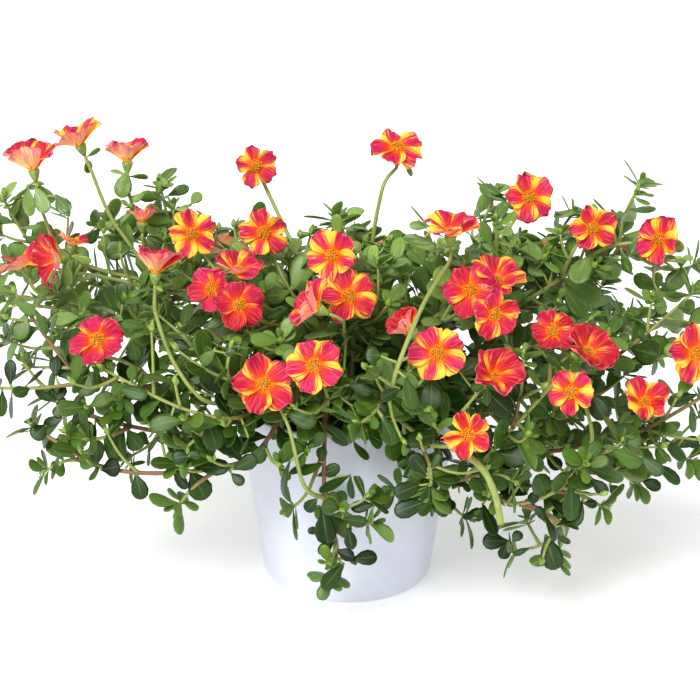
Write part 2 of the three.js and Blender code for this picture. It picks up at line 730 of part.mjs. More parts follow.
// A skin round an axis: four rings of corners from foot to crest, closed by a foot point and a peak. Between
// the two middle rings stand the roots of thin blades, whose faces fan out round their ridge points.
function fanSkin(rings, footPoint, peakPoint, blades) {
  const count = blades.length;
  const corners = [...rings.flat(), footPoint, peakPoint];
  const [foot, peak] = [4 * count, 4 * count + 1];
  const faces = [];
  blades.forEach(({ outline, ridge, under }, i) => {
    const next = (i + 1) % count;
    const [low, lowNext] = [count + i, count + next];
    const [high, highNext] = [2 * count + i, 2 * count + next];
    const [crest, crestNext] = [3 * count + i, 3 * count + next];
    faces.push(foot, next, i, i, next, lowNext, i, lowNext, low);
    faces.push(high, highNext, crestNext, high, crestNext, crest, crest, crestNext, peak);
    const first = corners.length;
    corners.push(...outline, ridge, under);
    const [top, below] = [first + outline.length, first + outline.length + 1];
    const edge = outline.map((_, n) => first + n);
    const over = [high, ...edge, highNext];
    const beneath = [low, ...edge, lowNext];
    over.forEach((corner, n) => faces.push(corner, over[(n + 1) % over.length], top));
    beneath.forEach((corner, n) => faces.push(beneath[(n + 1) % beneath.length], corner, below));
    faces.push(high, low, edge[0], highNext, edge[edge.length - 1], lowNext);
  });
  return new THREE.BufferGeometry().setFromPoints(corners).setIndex(faces);
}

// A ring of corners about +Z, one between each blade and the next.
function ringOf(count, radius, height) {
  return Array.from({ length: count }, (_, i) => {
    const angle = (2 * Math.PI * i) / count;
    return new THREE.Vector3(radius * Math.cos(angle), radius * Math.sin(angle), height);
  });
}

// Stands a geometry made about +Z on a place, facing axis, as a solid.
function standOn(geometry, placeAt, axis) {
  const turn = new THREE.Quaternion().setFromUnitVectors(new THREE.Vector3(0, 0, 1), axis);
  return solidOf(geometry.applyQuaternion(turn).translate(...placeAt.toArray()));
}

// The rosette at a tip: small leaves round a pointed bud.
function rosetteSolid({ root, axis, blades, size }) {
  const { leaves: count, budLength, budRadius, budMiddle, neck, foot } = rosette;
  const rootHalf = leaf.rootHeight / 2;
  const half = rosette.thickness / 2;
  const rings = [
    ringOf(count, neck, -foot),
    ringOf(count, neck, -rootHalf),
    ringOf(count, neck, rootHalf),
    ringOf(count, budRadius, budMiddle),
  ];
  const shaped = blades.map(({ length, lift }, i) => {
    const angle = (2 * Math.PI * (i + 0.5)) / count;
    const at = (along, across, height) => {
      const point = new THREE.Vector3(along, leaf.width * across, leaf.fold * Math.abs(across));
      point.multiplyScalar(length * size);
      point.z += height;
      point.applyAxisAngle(new THREE.Vector3(0, 1, 0), -lift);
      return point.applyAxisAngle(new THREE.Vector3(0, 0, 1), angle);
    };
    const outline = leafRim.map(([along, across]) => at(along, across, 0));
    return { outline, ridge: at(ridgeAt, 0, half), under: at(ridgeAt, 0, -half) };
  });
  const [footPoint, peak] = [new THREE.Vector3(0, 0, -foot), new THREE.Vector3(0, 0, budLength)];
  return standOn(fanSkin(rings, footPoint, peak, shaped), root, axis);
}

// The light comes from outside the mound and above, so leaves turn that way.
const moundCore = new THREE.Vector3(0, 0, 60);

function outwardAt(point, tangent) {
  const out = point.clone().sub(moundCore).normalize();
  return out.addScaledVector(tangent, -out.dot(tangent)).normalize();
}

// A leaf that springs from a point of a stem, turned about it by turn and leaning away from it by lean.
function leafAt(path, i, turn, lean, length, draw) {
  const point = path.points[i];
  const tangent = tangentAt(path.points, i);
  const out = outwardAt(point, tangent);
  const side = new THREE.Vector3().crossVectors(tangent, out);
  const spring = out.clone().multiplyScalar(Math.cos(turn) + 0.45);
  spring.addScaledVector(side, Math.sin(turn)).normalize();
  const axis = tangent.multiplyScalar(Math.cos(lean)).addScaledVector(spring, Math.sin(lean)).normalize();
  const light = out.clone().multiplyScalar(0.8).add(new THREE.Vector3(0, 0, 0.45));
  light.add(new THREE.Vector3(draw() - 0.5, draw() - 0.5, draw() - 0.5).multiplyScalar(0.9));
  const normal = light.addScaledVector(axis, -light.dot(axis)).normalize();
  return { root: rootIn(path, point, spring), axis, normal, length };
}

function tangentAt(points, i) {
  const [before, after] = [points[Math.max(i - 1, 0)], points[Math.min(i + 1, points.length - 1)]];
  return after.clone().sub(before).normalize();
}

const goldenTurn = (137.5 * Math.PI) / 180;

// The leaves of a run, in a fixed order: a rosette at a leafy tip, and single leaves along the stem, each
// turned by the golden angle from the last. A living stem has several times as many.
function leavesOf(path, draw) {
  const { points, held, end, cut } = path;
  if (cut) return [];
  const leaves = [];
  if (Array.isArray(end)) {
    const root = points[points.length - 1].clone();
    const axis = tangentAt(points, points.length - 1).add(new THREE.Vector3(0, 0, 0.3)).normalize();
    const blades = Array.from({ length: rosette.leaves }, () => {
      const length = leaf.length * (0.65 + 0.3 * draw());
      return { length, lift: 0.25 + 0.5 * draw() };
    });
    leaves.push({ root, axis, blades, tube: path.tube });
  }
  const stop = (points.length - 1) * step - leafing.tip;
  let turn = draw() * 2 * Math.PI;
  for (let along = leafing.first; along < stop; along += leafing.spacing * (0.75 + 0.5 * draw())) {
    turn += goldenTurn;
    const length = leaf.length * (0.75 + 0.5 * draw());
    const i = Math.max(held, Math.round(along / step));
    leaves.push(leafAt(path, i, turn, 0.95 + 0.5 * draw(), length, draw));
  }
  return leaves;
}

// ---- Blooms ----

// Along the petal, across it, and how far its wave lifts it, each as a share of the petal's length. The
// outline runs from one end of the petal's root to the other.
const petalOutline = [
  [0.45, -0.31, 0],
  [0.8, -0.54, -0.8],
  [0.99, -0.28, 1],
  [0.89, 0.02, 0.5],
  [1, 0.3, -0.6],
  [0.8, 0.54, 0.9],
  [0.45, 0.31, 0.4],
];

// The points of one petal round its ridge, in the bloom's own frame, where the bloom faces +Z.
function petalPoints(index, number, draw) {
  const { petal: reach, raised } = blooms[number];
  const lift = THREE.MathUtils.degToRad(raised + 8 * (draw() - 0.5));
  const narrow = Math.min(1, Math.cos(lift) / Math.cos(THREE.MathUtils.degToRad(petal.openest)));
  const angle = (2 * Math.PI * (index + 0.5)) / petal.count;
  const size = reach * (0.94 + 0.12 * draw());
  const at = (along, across, wave) => {
    const point = new THREE.Vector3(along, petal.width * narrow * across, petal.wave * wave);
    point.multiplyScalar(size);
    point.applyAxisAngle(new THREE.Vector3(1, 0, 0), THREE.MathUtils.degToRad(petal.twist));
    point.applyAxisAngle(new THREE.Vector3(0, 1, 0), -lift);
    return point.applyAxisAngle(new THREE.Vector3(0, 0, 1), angle);
  };
  const outline = petalOutline.map(([along, across, wave]) => at(along, across, wave));
  const half = petal.thickness / 2 / size / petal.wave;
  const hollow = petal.hollow / petal.wave;
  return { outline, ridge: at(0.62, 0, half - hollow), under: at(0.62, 0, -half - hollow) };
}

// A bloom is one skin: a heart of rings with a crown of stamens above and a short foot below, and its petals.
function bloomSolid(number) {
  const draw = drawFrom(7000 + 31 * number);
  const { count } = petal;
  const { radius, rim, crownRadius, crown, dip, footRadius, depth } = heart;
  const rings = [
    ringOf(count, footRadius, -depth),
    ringOf(count, radius, -rim),
    ringOf(count, radius, rim),
    ringOf(count, crownRadius, crown),
  ];
  const petals = rings[0].map((_, i) => petalPoints(i, number, draw));
  const [footPoint, centre] = [new THREE.Vector3(0, 0, -depth), new THREE.Vector3(0, 0, dip)];
  const { axis, heartAt } = bloomSeat(number);
  return standOn(fanSkin(rings, footPoint, centre, petals), heartAt, axis);
}

// ---- The whole plant ----

// True when two solids come nearer to each other than clear.
function tooNear(a, b, clear) {
  const [boxA, boxB] = [a.box, b.box];
  for (let i = 0; i < 3; i++) {
    if (boxA.min[i] > boxB.max[i] + clear || boxB.min[i] > boxA.max[i] + clear) return false;
  }
  return a.solid.minGap(b.solid, clear) < clear;
}

function boxed(solid) {
  return { solid, box: solid.boundingBox() };
}

const group = new THREE.Group();
const potSolid = makePot();
const standing = [boxed(potSolid)];
group.add(meshOf("pot", potSolid, colours.pot, 0.45));
group.add(meshOf("soil", makeSoil(), colours.soil, 0.95));

const inPairs = new Set(leaningBlooms.flat());
const apart = Object.keys(blooms).map(Number).filter((number) => !inPairs.has(number));
for (const numbers of [...apart.map((number) => [number]), ...leaningBlooms]) {
  const name = "bloom_" + numbers.map((number) => String(number).padStart(2, "0")).join("_");
  const solid = fuse(numbers.map(bloomSolid));
  standing.push(boxed(solid));
  group.add(meshOf(name, solid, colours.bloom, 0.6));
}

const paths = growPaths();
bendClear(paths);
makeTubes(paths);

// Leaves are set stem by stem. A rosette that would come too near another piece, or another leaf of its own
// stem, is made smaller, and what still comes too near is left off.
const twigs = stems.map((_, node) => paths.filter((path) => path.node === node));
const grown = twigs.map((runs) => runs.map((path) => path.tube));
twigs.forEach((runs, node) => {
  const others = [...standing, ...grown.filter((_, other) => other !== node).flat()];
  const draw = drawFrom(100 + node);
  const set = [];
  for (const plan of runs.flatMap((path) => leavesOf(path, draw))) {
    const tries = plan.blades ? [1, 0.8, 0.6] : [1];
    const ownTubes = runs.map((path) => path.tube).filter((other) => !plan.blades || other !== plan.tube);
    for (const size of tries) {
      const whole = boxed(plan.blades ? rosetteSolid({ ...plan, size }) : leafSolid(plan));
      const outer = plan.blades ? whole : boxed(leafSolid(plan, 0.3));
      if (others.some((other) => tooNear(whole, other, seatGap + 0.05))) continue;
      if ([...set, ...ownTubes].some((other) => tooNear(outer, other, 0.1))) continue;
      set.push(outer);
      grown[node].push(whole);
      break;
    }
  }
});
grown.forEach((pieces, node) => {
  const name = "leafy_stem_" + String(node + 1).padStart(2, "0");
  group.add(meshOf(name, fuse(pieces.map((piece) => piece.solid)), colours.leaf, 0.55));
});

export default group;
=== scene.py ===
import bpy
import numpy as np
from mathutils import Matrix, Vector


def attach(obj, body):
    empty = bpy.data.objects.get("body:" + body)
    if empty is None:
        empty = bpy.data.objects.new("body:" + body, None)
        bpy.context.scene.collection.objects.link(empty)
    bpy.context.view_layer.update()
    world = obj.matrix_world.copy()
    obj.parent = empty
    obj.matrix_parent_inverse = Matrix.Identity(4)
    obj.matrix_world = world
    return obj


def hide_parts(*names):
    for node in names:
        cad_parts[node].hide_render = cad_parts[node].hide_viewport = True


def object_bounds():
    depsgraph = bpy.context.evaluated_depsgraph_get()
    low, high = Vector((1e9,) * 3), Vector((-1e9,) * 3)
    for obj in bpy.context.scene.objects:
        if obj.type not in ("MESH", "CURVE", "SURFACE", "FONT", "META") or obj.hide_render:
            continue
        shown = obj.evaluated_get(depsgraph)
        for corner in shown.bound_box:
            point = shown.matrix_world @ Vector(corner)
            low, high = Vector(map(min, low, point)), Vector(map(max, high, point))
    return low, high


# A potted portulaca: a plain white pot, its soil, leafy stems that arch and trail over the rim, and striped
# five-petalled blooms on their tips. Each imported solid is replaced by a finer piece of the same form.
# Lengths are in millimetres until a mesh is made.

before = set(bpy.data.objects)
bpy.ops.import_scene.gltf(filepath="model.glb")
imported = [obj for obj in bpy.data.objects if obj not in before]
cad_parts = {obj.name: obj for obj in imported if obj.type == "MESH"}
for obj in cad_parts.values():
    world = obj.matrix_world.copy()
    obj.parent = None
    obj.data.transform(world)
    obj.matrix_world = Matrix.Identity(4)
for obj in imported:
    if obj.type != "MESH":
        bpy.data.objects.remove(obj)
solidBox = [list(corner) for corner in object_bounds()]
print("frame loaded")

# Bloom number: where the heart sits and which way it faces on the layout sheet, petal length, how far the
# petals are raised in degrees, and its tone: hue from red 0 to magenta 1, share of yellow, and how far out
# that runs. The sheet is a front view, in mm across and up and behind the pot's axis.
blooms = {
    1: dict(at=(-188, 239, 38), faces=(-0.15, 0.95, 0.25), petal=18, raised=30, tone=(0.45, 0.5, 0.8)),
    2: dict(at=(-160, 254, 58), faces=(-0.35, 0.85, 0.3), petal=15.5, raised=38, tone=(0.5, 0.55, 0.9)),
    3: dict(at=(-132, 244, 70), faces=(0, 1, 0.1), petal=15, raised=42, tone=(0.5, 0.5, 0.8)),
    4: dict(at=(-193, 181, 0), faces=(-0.35, 0.9, 0.2), petal=16, raised=22, tone=(0.3, 0.4, 0.7)),
    5: dict(at=(-172, 187, -20), faces=(-0.85, -0.1, 0.4), petal=16, raised=35, tone=(0.2, 0.4, 0.6)),
    6: dict(at=(-115, 177, -45), faces=(0.05, 1, 0.15), petal=15.5, raised=54, tone=(0.5, 0.35, 0.7)),
    7: dict(at=(-150, 137, -88), faces=(0, 0.5, 0.85), petal=14.5, raised=6, tone=(0.6, 0.35, 0.55)),
    8: dict(at=(-93, 201, -2), faces=(0.05, 0.15, 1), petal=14, raised=20, tone=(0.7, 0.6, 1.1)),
    9: dict(at=(-55, 242, 55), faces=(0, 0, 1), petal=12.5, raised=14, tone=(0.6, 0.5, 0.85)),
    10: dict(at=(-50, 202, -12), faces=(0.05, 0, 1), petal=14, raised=20, tone=(0.5, 0.6, 1.0)),
    11: dict(at=(-80, 168, -64), faces=(-0.45, 0.15, 0.85), petal=14, raised=25, tone=(0.5, 0.3, 0.5)),
    12: dict(at=(-66, 177, -66), faces=(0.1, 0.8, 0.5), petal=13, raised=30, tone=(0.5, 0.45, 0.9)),
    13: dict(at=(-65, 159, -80), faces=(0.18, -0.05, 1), petal=13.5, raised=18, tone=(0.3, 0.3, 0.6)),
    14: dict(at=(-8, 188, -58), faces=(-0.4, 0.15, 0.9), petal=15.5, raised=24, tone=(0.8, 0.6, 1.1)),
    15: dict(at=(1, 164, -68), faces=(0, 0.1, 1), petal=15, raised=20, tone=(0.5, 0.55, 1.0)),
    16: dict(at=(-17, 156, -92), faces=(-0.8, 0.35, 0.3), petal=15, raised=34, tone=(0.4, 0.5, 0.8)),
    17: dict(at=(-50, 111, -110), faces=(0, 0.1, 1), petal=16.5, raised=18, tone=(0.45, 0.45, 0.9)),
    18: dict(at=(-20, 123, -112), faces=(-0.08, -0.08, 1), petal=14.5, raised=16, tone=(0.85, 0.6, 1.2)),
    19: dict(at=(30, 252, 60), faces=(0, 0.7, 0.7), petal=15, raised=12, tone=(0.6, 0.6, 1.1)),
    20: dict(at=(62, 200, -62), faces=(0, 0.85, 0.5), petal=14.5, raised=42, tone=(0.6, 0.6, 1.1)),
    21: dict(at=(39, 142, -96), faces=(-0.6, 0.6, 0.3), petal=13, raised=62, tone=(0.2, 0.3, 0.6)),
    22: dict(at=(54, 130, -114), faces=(0, 0.05, 1), petal=15.3, raised=14, tone=(0.9, 0.6, 1.2)),
    23: dict(at=(74, 167, -77), faces=(-0.15, 0.28, 0.95), petal=15.3, raised=20, tone=(0.45, 0.35, 0.55)),
    24: dict(at=(89, 172, -66), faces=(0.3, 0.7, 0.6), petal=15, raised=30, tone=(0.4, 0.45, 0.9)),
    25: dict(at=(88, 154, -95), faces=(0.2, -0.3, 0.95), petal=14, raised=24, tone=(0.45, 0.4, 0.8)),
    26: dict(at=(87, 115, -116), faces=(0.3, 0.35, 0.75), petal=16, raised=46, tone=(0.2, 0.4, 0.7)),
    27: dict(at=(73, 80, -130), faces=(-0.2, 0.3, 0.9), petal=14, raised=34, tone=(0.15, 0.6, 1.0)),
    28: dict(at=(109, 223, 40), faces=(0.05, 0.05, 1), petal=14, raised=20, tone=(0.7, 0.45, 0.9)),
    29: dict(at=(147, 205, 24), faces=(0, -0.15, 0.95), petal=14, raised=20, tone=(0.6, 0.55, 0.9)),
    30: dict(at=(188, 198, 18), faces=(-0.6, 0, 0.8), petal=14.5, raised=18, tone=(0.75, 0.5, 0.9)),
    31: dict(at=(123, 143, -79), faces=(-0.05, 0.1, 1), petal=12.3, raised=20, tone=(0.35, 0.25, 0.6)),
    32: dict(at=(143, 129, -84), faces=(0.35, 0.5, 0.6), petal=15.5, raised=44, tone=(0.1, 0.3, 0.5)),
    33: dict(at=(135, 107, -104), faces=(-0.3, -0.15, 0.95), petal=13, raised=20, tone=(0.75, 0.5, 0.9)),
    34: dict(at=(178, 99, -74), faces=(0.05, 0.45, 0.85), petal=15, raised=38, tone=(0.2, 0.5, 0.9)),
    35: dict(at=(208, 130, -50), faces=(0.15, -0.1, 0.95), petal=16, raised=24, tone=(0.6, 0.55, 1.0)),
    36: dict(at=(-123, 208, 48), faces=(0, 0.9, 0.3), petal=12, raised=50, tone=(0.4, 0.5, 0.8)),
    37: dict(at=(-165, 194, 28), faces=(0.2, 0.9, 0.2), petal=10.5, raised=40, tone=(0.4, 0.5, 0.8)),
    38: dict(at=(-72, 192, 128), faces=(-0.3, 0.85, -0.45), petal=16, raised=24, tone=(0.5, 0.5, 0.9)),
    39: dict(at=(22, 186, 146), faces=(0.05, 0.6, -0.75), petal=16, raised=20, tone=(0.5, 0.5, 0.9)),
    40: dict(at=(118, 186, 116), faces=(0.35, 0.85, -0.35), petal=16, raised=28, tone=(0.6, 0.5, 1.0)),
}

# Blooms that lean on one another share a piece.
leaningBlooms = [(12, 13), (14, 15), (17, 18), (23, 24), (31, 32)]

# Stems: the place in the soil, the points passed on the sheet, and the end, which is a bloom's number or the
# place of a leafy tip. A shoot starts at a share of its stem's length.
stems = [
    dict(hole=(-26, 14), end=2, via=[(-55, 148, 25), (-105, 172, 42), (-138, 205, 50)],
        shoots=[
            dict(start=0.55, via=[(-165, 186, 42), (-182, 212, 40)], end=1),
            dict(start=0.48, via=[(-148, 176, 32)], end=37),
            dict(start=0.45, via=[(-150, 170, 56), (-185, 190, 58)], end=(-205, 220, 52)),
        ]),
    dict(hole=(-16, 26), end=3, via=[(-45, 155, 38), (-88, 178, 62), (-122, 206, 70)],
        shoots=[
            dict(start=0.5, via=[(-112, 190, 56)], end=36),
            dict(start=0.58, via=[(-105, 205, 74)], end=(-112, 229, 78)),
            dict(start=0.62, via=[(-128, 200, 92)], end=(-148, 205, 104)),
        ]),
    dict(hole=(-38, 0), end=4, via=[(-70, 130, -8), (-115, 144, -12), (-155, 158, -6)],
        shoots=[
            dict(start=0.78, via=[(-166, 170, -14)], end=5),
            dict(start=0.7, via=[(-185, 158, -10)], end=(-205, 161, -14)),
            dict(start=0.5, via=[(-118, 150, 8)], end=(-126, 149, 22)),
        ]),
    dict(hole=(-36, -16), end=(-199, 165, -64),
        via=[(-68, 112, -48), (-110, 108, -66), (-150, 115, -74), (-166, 121, -74)],
        shoots=[
            dict(start=0.66, via=[(-185, 109, -78)], end=(-210, 109, -76)),
            dict(start=0.5, via=[(-132, 124, -80)], end=7),
            dict(start=0.32, via=[(-88, 128, -66)], end=(-98, 142, -70)),
        ]),
    dict(hole=(-28, -25), end=6, via=[(-54, 106, -66), (-83, 100, -98), (-103, 122, -88), (-114, 150, -66)],
        shoots=[
            dict(start=0.3, via=[(-66, 91, -104), (-100, 97, -106)], end=(-146, 120, -98)),
            dict(start=0.36, via=[(-84, 84, -108)], end=(-96, 74, -110)),
            dict(start=0.42, via=[(-72, 118, -104)], end=(-70, 132, -106)),
        ]),
    dict(hole=(-19, -40), end=(-187, 85, -74),
        via=[(-36, 94, -74), (-60, 66, -90), (-107, 58, -90), (-145, 61, -84), (-170, 74, -78)],
        shoots=[
            dict(start=0.5, via=[(-92, 50, -96)], end=(-100, 40, -94)),
            dict(start=0.78, via=[(-166, 66, -74)], end=(-180, 60, -70)),
        ]),
    dict(hole=(-36, -28), end=(-176, 104, -70),
        via=[(-62, 96, -56), (-95, 82, -74), (-130, 86, -76), (-158, 94, -72)],
        shoots=[
            dict(start=0.72, via=[(-142, 80, -84)], end=(-154, 78, -90)),
        ]),
    dict(hole=(-13, -12), end=12, via=[(-30, 142, -26), (-50, 158, -44)],
        shoots=[
            dict(start=0.62, via=[(-66, 160, -48)], end=11),
            dict(start=0.55, via=[(-50, 148, -62)], end=13),
            dict(start=0.45, via=[(-70, 170, -14)], end=8),
            dict(start=0.5, via=[(-78, 164, -20)], end=(-102, 180, -14)),
            dict(start=0.35, via=[(-34, 128, -60)], end=(-40, 136, -88)),
        ]),
    dict(hole=(-6, 10), end=9, via=[(-16, 150, 12), (-28, 184, 32), (-39, 208, 45)],
        shoots=[
            dict(start=0.36, via=[(-28, 158, -10), (-40, 178, -10)], end=10),
            dict(start=0.42, via=[(-58, 184, 20)], end=(-82, 196, 22)),
            dict(start=0.5, via=[(-40, 190, 62)], end=(-52, 202, 84)),
            dict(start=0.5, via=[(-8, 190, 42)], end=(-2, 206, 46)),
        ]),
    dict(hole=(2, -8), end=14, via=[(4, 144, -20), (3, 165, -34)],
        shoots=[
            dict(start=0.62, via=[(8, 152, -52)], end=15),
            dict(start=0.5, via=[(-2, 140, -66)], end=16),
            dict(start=0.7, via=[(6, 186, -18)], end=(-6, 208, -6)),
            dict(start=0.55, via=[(16, 150, -50)], end=(24, 158, -70)),
        ]),
    dict(hole=(-11, -39), end=(-10, -4, -88),
        via=[(-13, 96, -74), (-14, 64, -94), (-13, 36, -98), (-6, 14, -94)],
        shoots=[
            dict(start=0.66, via=[(-26, 50, -110), (-36, 88, -114)], end=17),
            dict(start=0.3, via=[(-12, 104, -98)], end=18),
            dict(start=0.66, via=[(2, 32, -98)], end=(12, 28, -96)),
            dict(start=0.5, via=[(-24, 46, -96)], end=(-32, 38, -96)),
        ]),
    dict(hole=(10, 20), end=19, via=[(12, 150, 32), (14, 190, 48), (22, 232, 57)],
        shoots=[
            dict(start=0.48, via=[(38, 190, 46)], end=(50, 203, 50)),
            dict(start=0.42, via=[(20, 178, 76)], end=(30, 186, 104)),
            dict(start=0.38, via=[(32, 180, 56)], end=(52, 190, 74)),
            dict(start=0.22, via=[(6, 154, 38)], end=(10, 166, 40)),
        ]),
    dict(hole=(14, -31), end=20, via=[(22, 104, -78), (26, 106, -118), (31, 124, -130), (46, 160, -104)],
        shoots=[
            dict(start=0.36, via=[(42, 110, -108)], end=22),
            dict(start=0.28, via=[(30, 124, -96)], end=21),
            dict(start=0.3, via=[(18, 96, -110)], end=(8, 88, -118)),
        ]),
    dict(hole=(20, -7), end=24, via=[(42, 142, -26), (66, 158, -46)],
        shoots=[
            dict(start=0.6, via=[(60, 150, -56)], end=23),
            dict(start=0.66, via=[(84, 146, -66)], end=25),
            dict(start=0.5, via=[(52, 172, -20)], end=(54, 190, -24)),
            dict(start=0.6, via=[(82, 174, -30)], end=(100, 190, -26)),
            dict(start=0.42, via=[(36, 160, -32)], end=(28, 180, -40)),
        ]),
    dict(hole=(15, -39), end=27, via=[(28, 92, -78), (48, 76, -100), (62, 74, -118)],
        shoots=[
            dict(start=0.66, via=[(66, 92, -106), (78, 106, -108)], end=26),
            dict(start=0.86, via=[(80, 62, -128), (89, 44, -130)], end=(92, 27, -127), cut=True),
            dict(start=0.62, via=[(50, 60, -106)], end=(50, 49, -108)),
        ]),
    dict(hole=(33, -25), end=32,
        via=[(48, 97, -50), (58, 56, -76), (76, 60, -92), (102, 88, -96), (128, 116, -88)],
        shoots=[
            dict(start=0.84, via=[(122, 124, -76)], end=31),
            dict(start=0.5, via=[(88, 58, -100)], end=(98, 54, -104)),
            dict(start=0.72, via=[(104, 106, -96)], end=(106, 126, -98)),
            dict(start=0.36, via=[(62, 40, -76)], end=(70, 32, -80)),
        ]),
    dict(hole=(39, -12), end=33,
        via=[(57, 106, -24), (76, 90, -42), (80, 58, -62), (96, 40, -76), (119, 44, -84), (134, 55, -88),
            (147, 78, -94)],
        shoots=[
            dict(start=0.56, via=[(124, 30, -78), (119, 16, -72)], end=(101, 11, -68)),
            dict(start=0.58, via=[(130, 26, -76)], end=(126, 10, -74)),
            dict(start=0.66, via=[(142, 44, -84)], end=(152, 38, -82)),
            dict(start=0.8, via=[(154, 70, -100)], end=(164, 76, -104)),
            dict(start=0.2, via=[(84, 102, -50)], end=(92, 106, -58)),
        ]),
    dict(hole=(42, 2), end=(212, 103, -42),
        via=[(62, 117, 0), (84, 96, -8), (112, 72, -26), (150, 76, -44), (178, 84, -50)],
        shoots=[
            dict(start=0.68, via=[(168, 88, -62)], end=34),
            dict(start=0.6, via=[(160, 60, -50)], end=(172, 52, -50)),
            dict(start=0.78, via=[(192, 74, -46)], end=(204, 66, -42)),
            dict(start=0.45, via=[(112, 90, -50)], end=(122, 92, -72)),
            dict(start=0.38, via=[(108, 86, -6)], end=(110, 90, 14)),
        ]),
    dict(hole=(31, 8), end=35, via=[(72, 126, 2), (120, 116, -20), (158, 122, -32), (186, 127, -40)],
        shoots=[
            dict(start=0.72, via=[(180, 142, -36)], end=(206, 165, -34)),
            dict(start=0.58, via=[(150, 136, -22)], end=(166, 150, -20)),
            dict(start=0.42, via=[(112, 134, -30)], end=(124, 120, -52)),
            dict(start=0.5, via=[(130, 106, 0)], end=(160, 98, 14)),
            dict(start=0.3, via=[(82, 140, -4)], end=(88, 157, -6)),
        ]),
    dict(hole=(24, 21), end=30, via=[(58, 142, 26), (110, 163, 34), (149, 190, 30), (170, 196, 26)],
        shoots=[
            dict(start=0.42, via=[(86, 188, 38), (98, 206, 42)], end=28),
            dict(start=0.64, via=[(136, 192, 24)], end=29),
            dict(start=0.6, via=[(158, 186, 42), (166, 212, 46)], end=(175, 230, 48)),
            dict(start=0.82, via=[(190, 180, 34)], end=(207, 182, 34)),
            dict(start=0.46, via=[(118, 190, 58)], end=(134, 212, 62)),
            dict(start=0.36, via=[(78, 196, 52)], end=(88, 224, 58)),
            dict(start=0.46, via=[(118, 158, 44)], end=(127, 152, 54)),
        ]),
    dict(hole=(-24, 33), end=(-140, 146, 128), via=[(-58, 164, 78), (-98, 164, 108)],
        shoots=[
            dict(start=0.42, via=[(-66, 174, 104)], end=38),
            dict(start=0.6, via=[(-116, 172, 88)], end=(-150, 172, 92)),
            dict(start=0.6, via=[(-96, 150, 128)], end=(-104, 130, 146)),
            dict(start=0.75, via=[(-140, 158, 100)], end=(-172, 142, 84)),
            dict(start=0.6, via=[(-98, 184, 104)], end=(-104, 203, 106)),
        ]),
    dict(hole=(-3, 40), end=(-24, 138, 154), via=[(-8, 160, 86), (-16, 158, 122)],
        shoots=[
            dict(start=0.5, via=[(8, 166, 122)], end=39),
            dict(start=0.55, via=[(-34, 164, 116)], end=(-52, 150, 146)),
            dict(start=0.55, via=[(16, 148, 120)], end=(34, 132, 138)),
            dict(start=0.35, via=[(-4, 142, 92)], end=(2, 116, 112)),
            dict(start=0.62, via=[(0, 150, 138)], end=(9, 142, 162)),
        ]),
    dict(hole=(25, 33), end=(144, 146, 112), via=[(60, 164, 72), (98, 160, 98)],
        shoots=[
            dict(start=0.5, via=[(98, 170, 104)], end=40),
            dict(start=0.62, via=[(124, 160, 76)], end=(168, 150, 66)),
            dict(start=0.55, via=[(84, 150, 112)], end=(86, 132, 140)),
            dict(start=0.78, via=[(150, 150, 92)], end=(184, 134, 74)),
            dict(start=0.6, via=[(84, 172, 108)], end=(80, 184, 124)),
        ]),
]

# The top and bottom lines of the foliage on the sheet, as (across, up).
foliageTop = [
    (-208, 228), (-196, 225), (-181, 222), (-166, 214), (-157, 205), (-148, 214), (-141, 223),
    (-133, 235), (-127, 231), (-120, 237), (-109, 233), (-97, 230), (-85, 219), (-79, 204), (-67, 207),
    (-63, 215), (-57, 204), (-28, 202), (-13, 208), (-7, 214), (-1, 205), (8, 215), (17, 207), (32, 206),
    (41, 217), (50, 215), (56, 208), (74, 210), (80, 228), (92, 234), (99, 220), (110, 204), (125, 214),
    (137, 222), (152, 225), (164, 214), (171, 236), (182, 228), (191, 200), (206, 192), (218, 192),
]
foliageBottom = [
    (-214, 90), (-196, 90), (-192, 78), (-181, 54), (-172, 55), (-163, 64), (-151, 51), (-142, 56),
    (-130, 42), (-118, 43), (-112, 52), (-100, 45), (-88, 42), (-79, 49), (-67, 55), (-58, 60),
    (-49, 64), (-43, 66), (-39, 44), (-33, 48), (-25, 48), (-22, 36), (-18, 15), (-17, -14), (-1, -12),
    (3, 3), (18, 6), (22, 27), (30, 21), (36, 24), (41, 34), (56, 31), (65, 36), (69, 48), (80, 39),
    (83, 12), (92, 6), (101, 4), (110, 6), (116, -2), (129, 0), (134, 18), (141, 27), (149, 36),
    (164, 45), (176, 48), (188, 46), (206, 54), (218, 55),
]

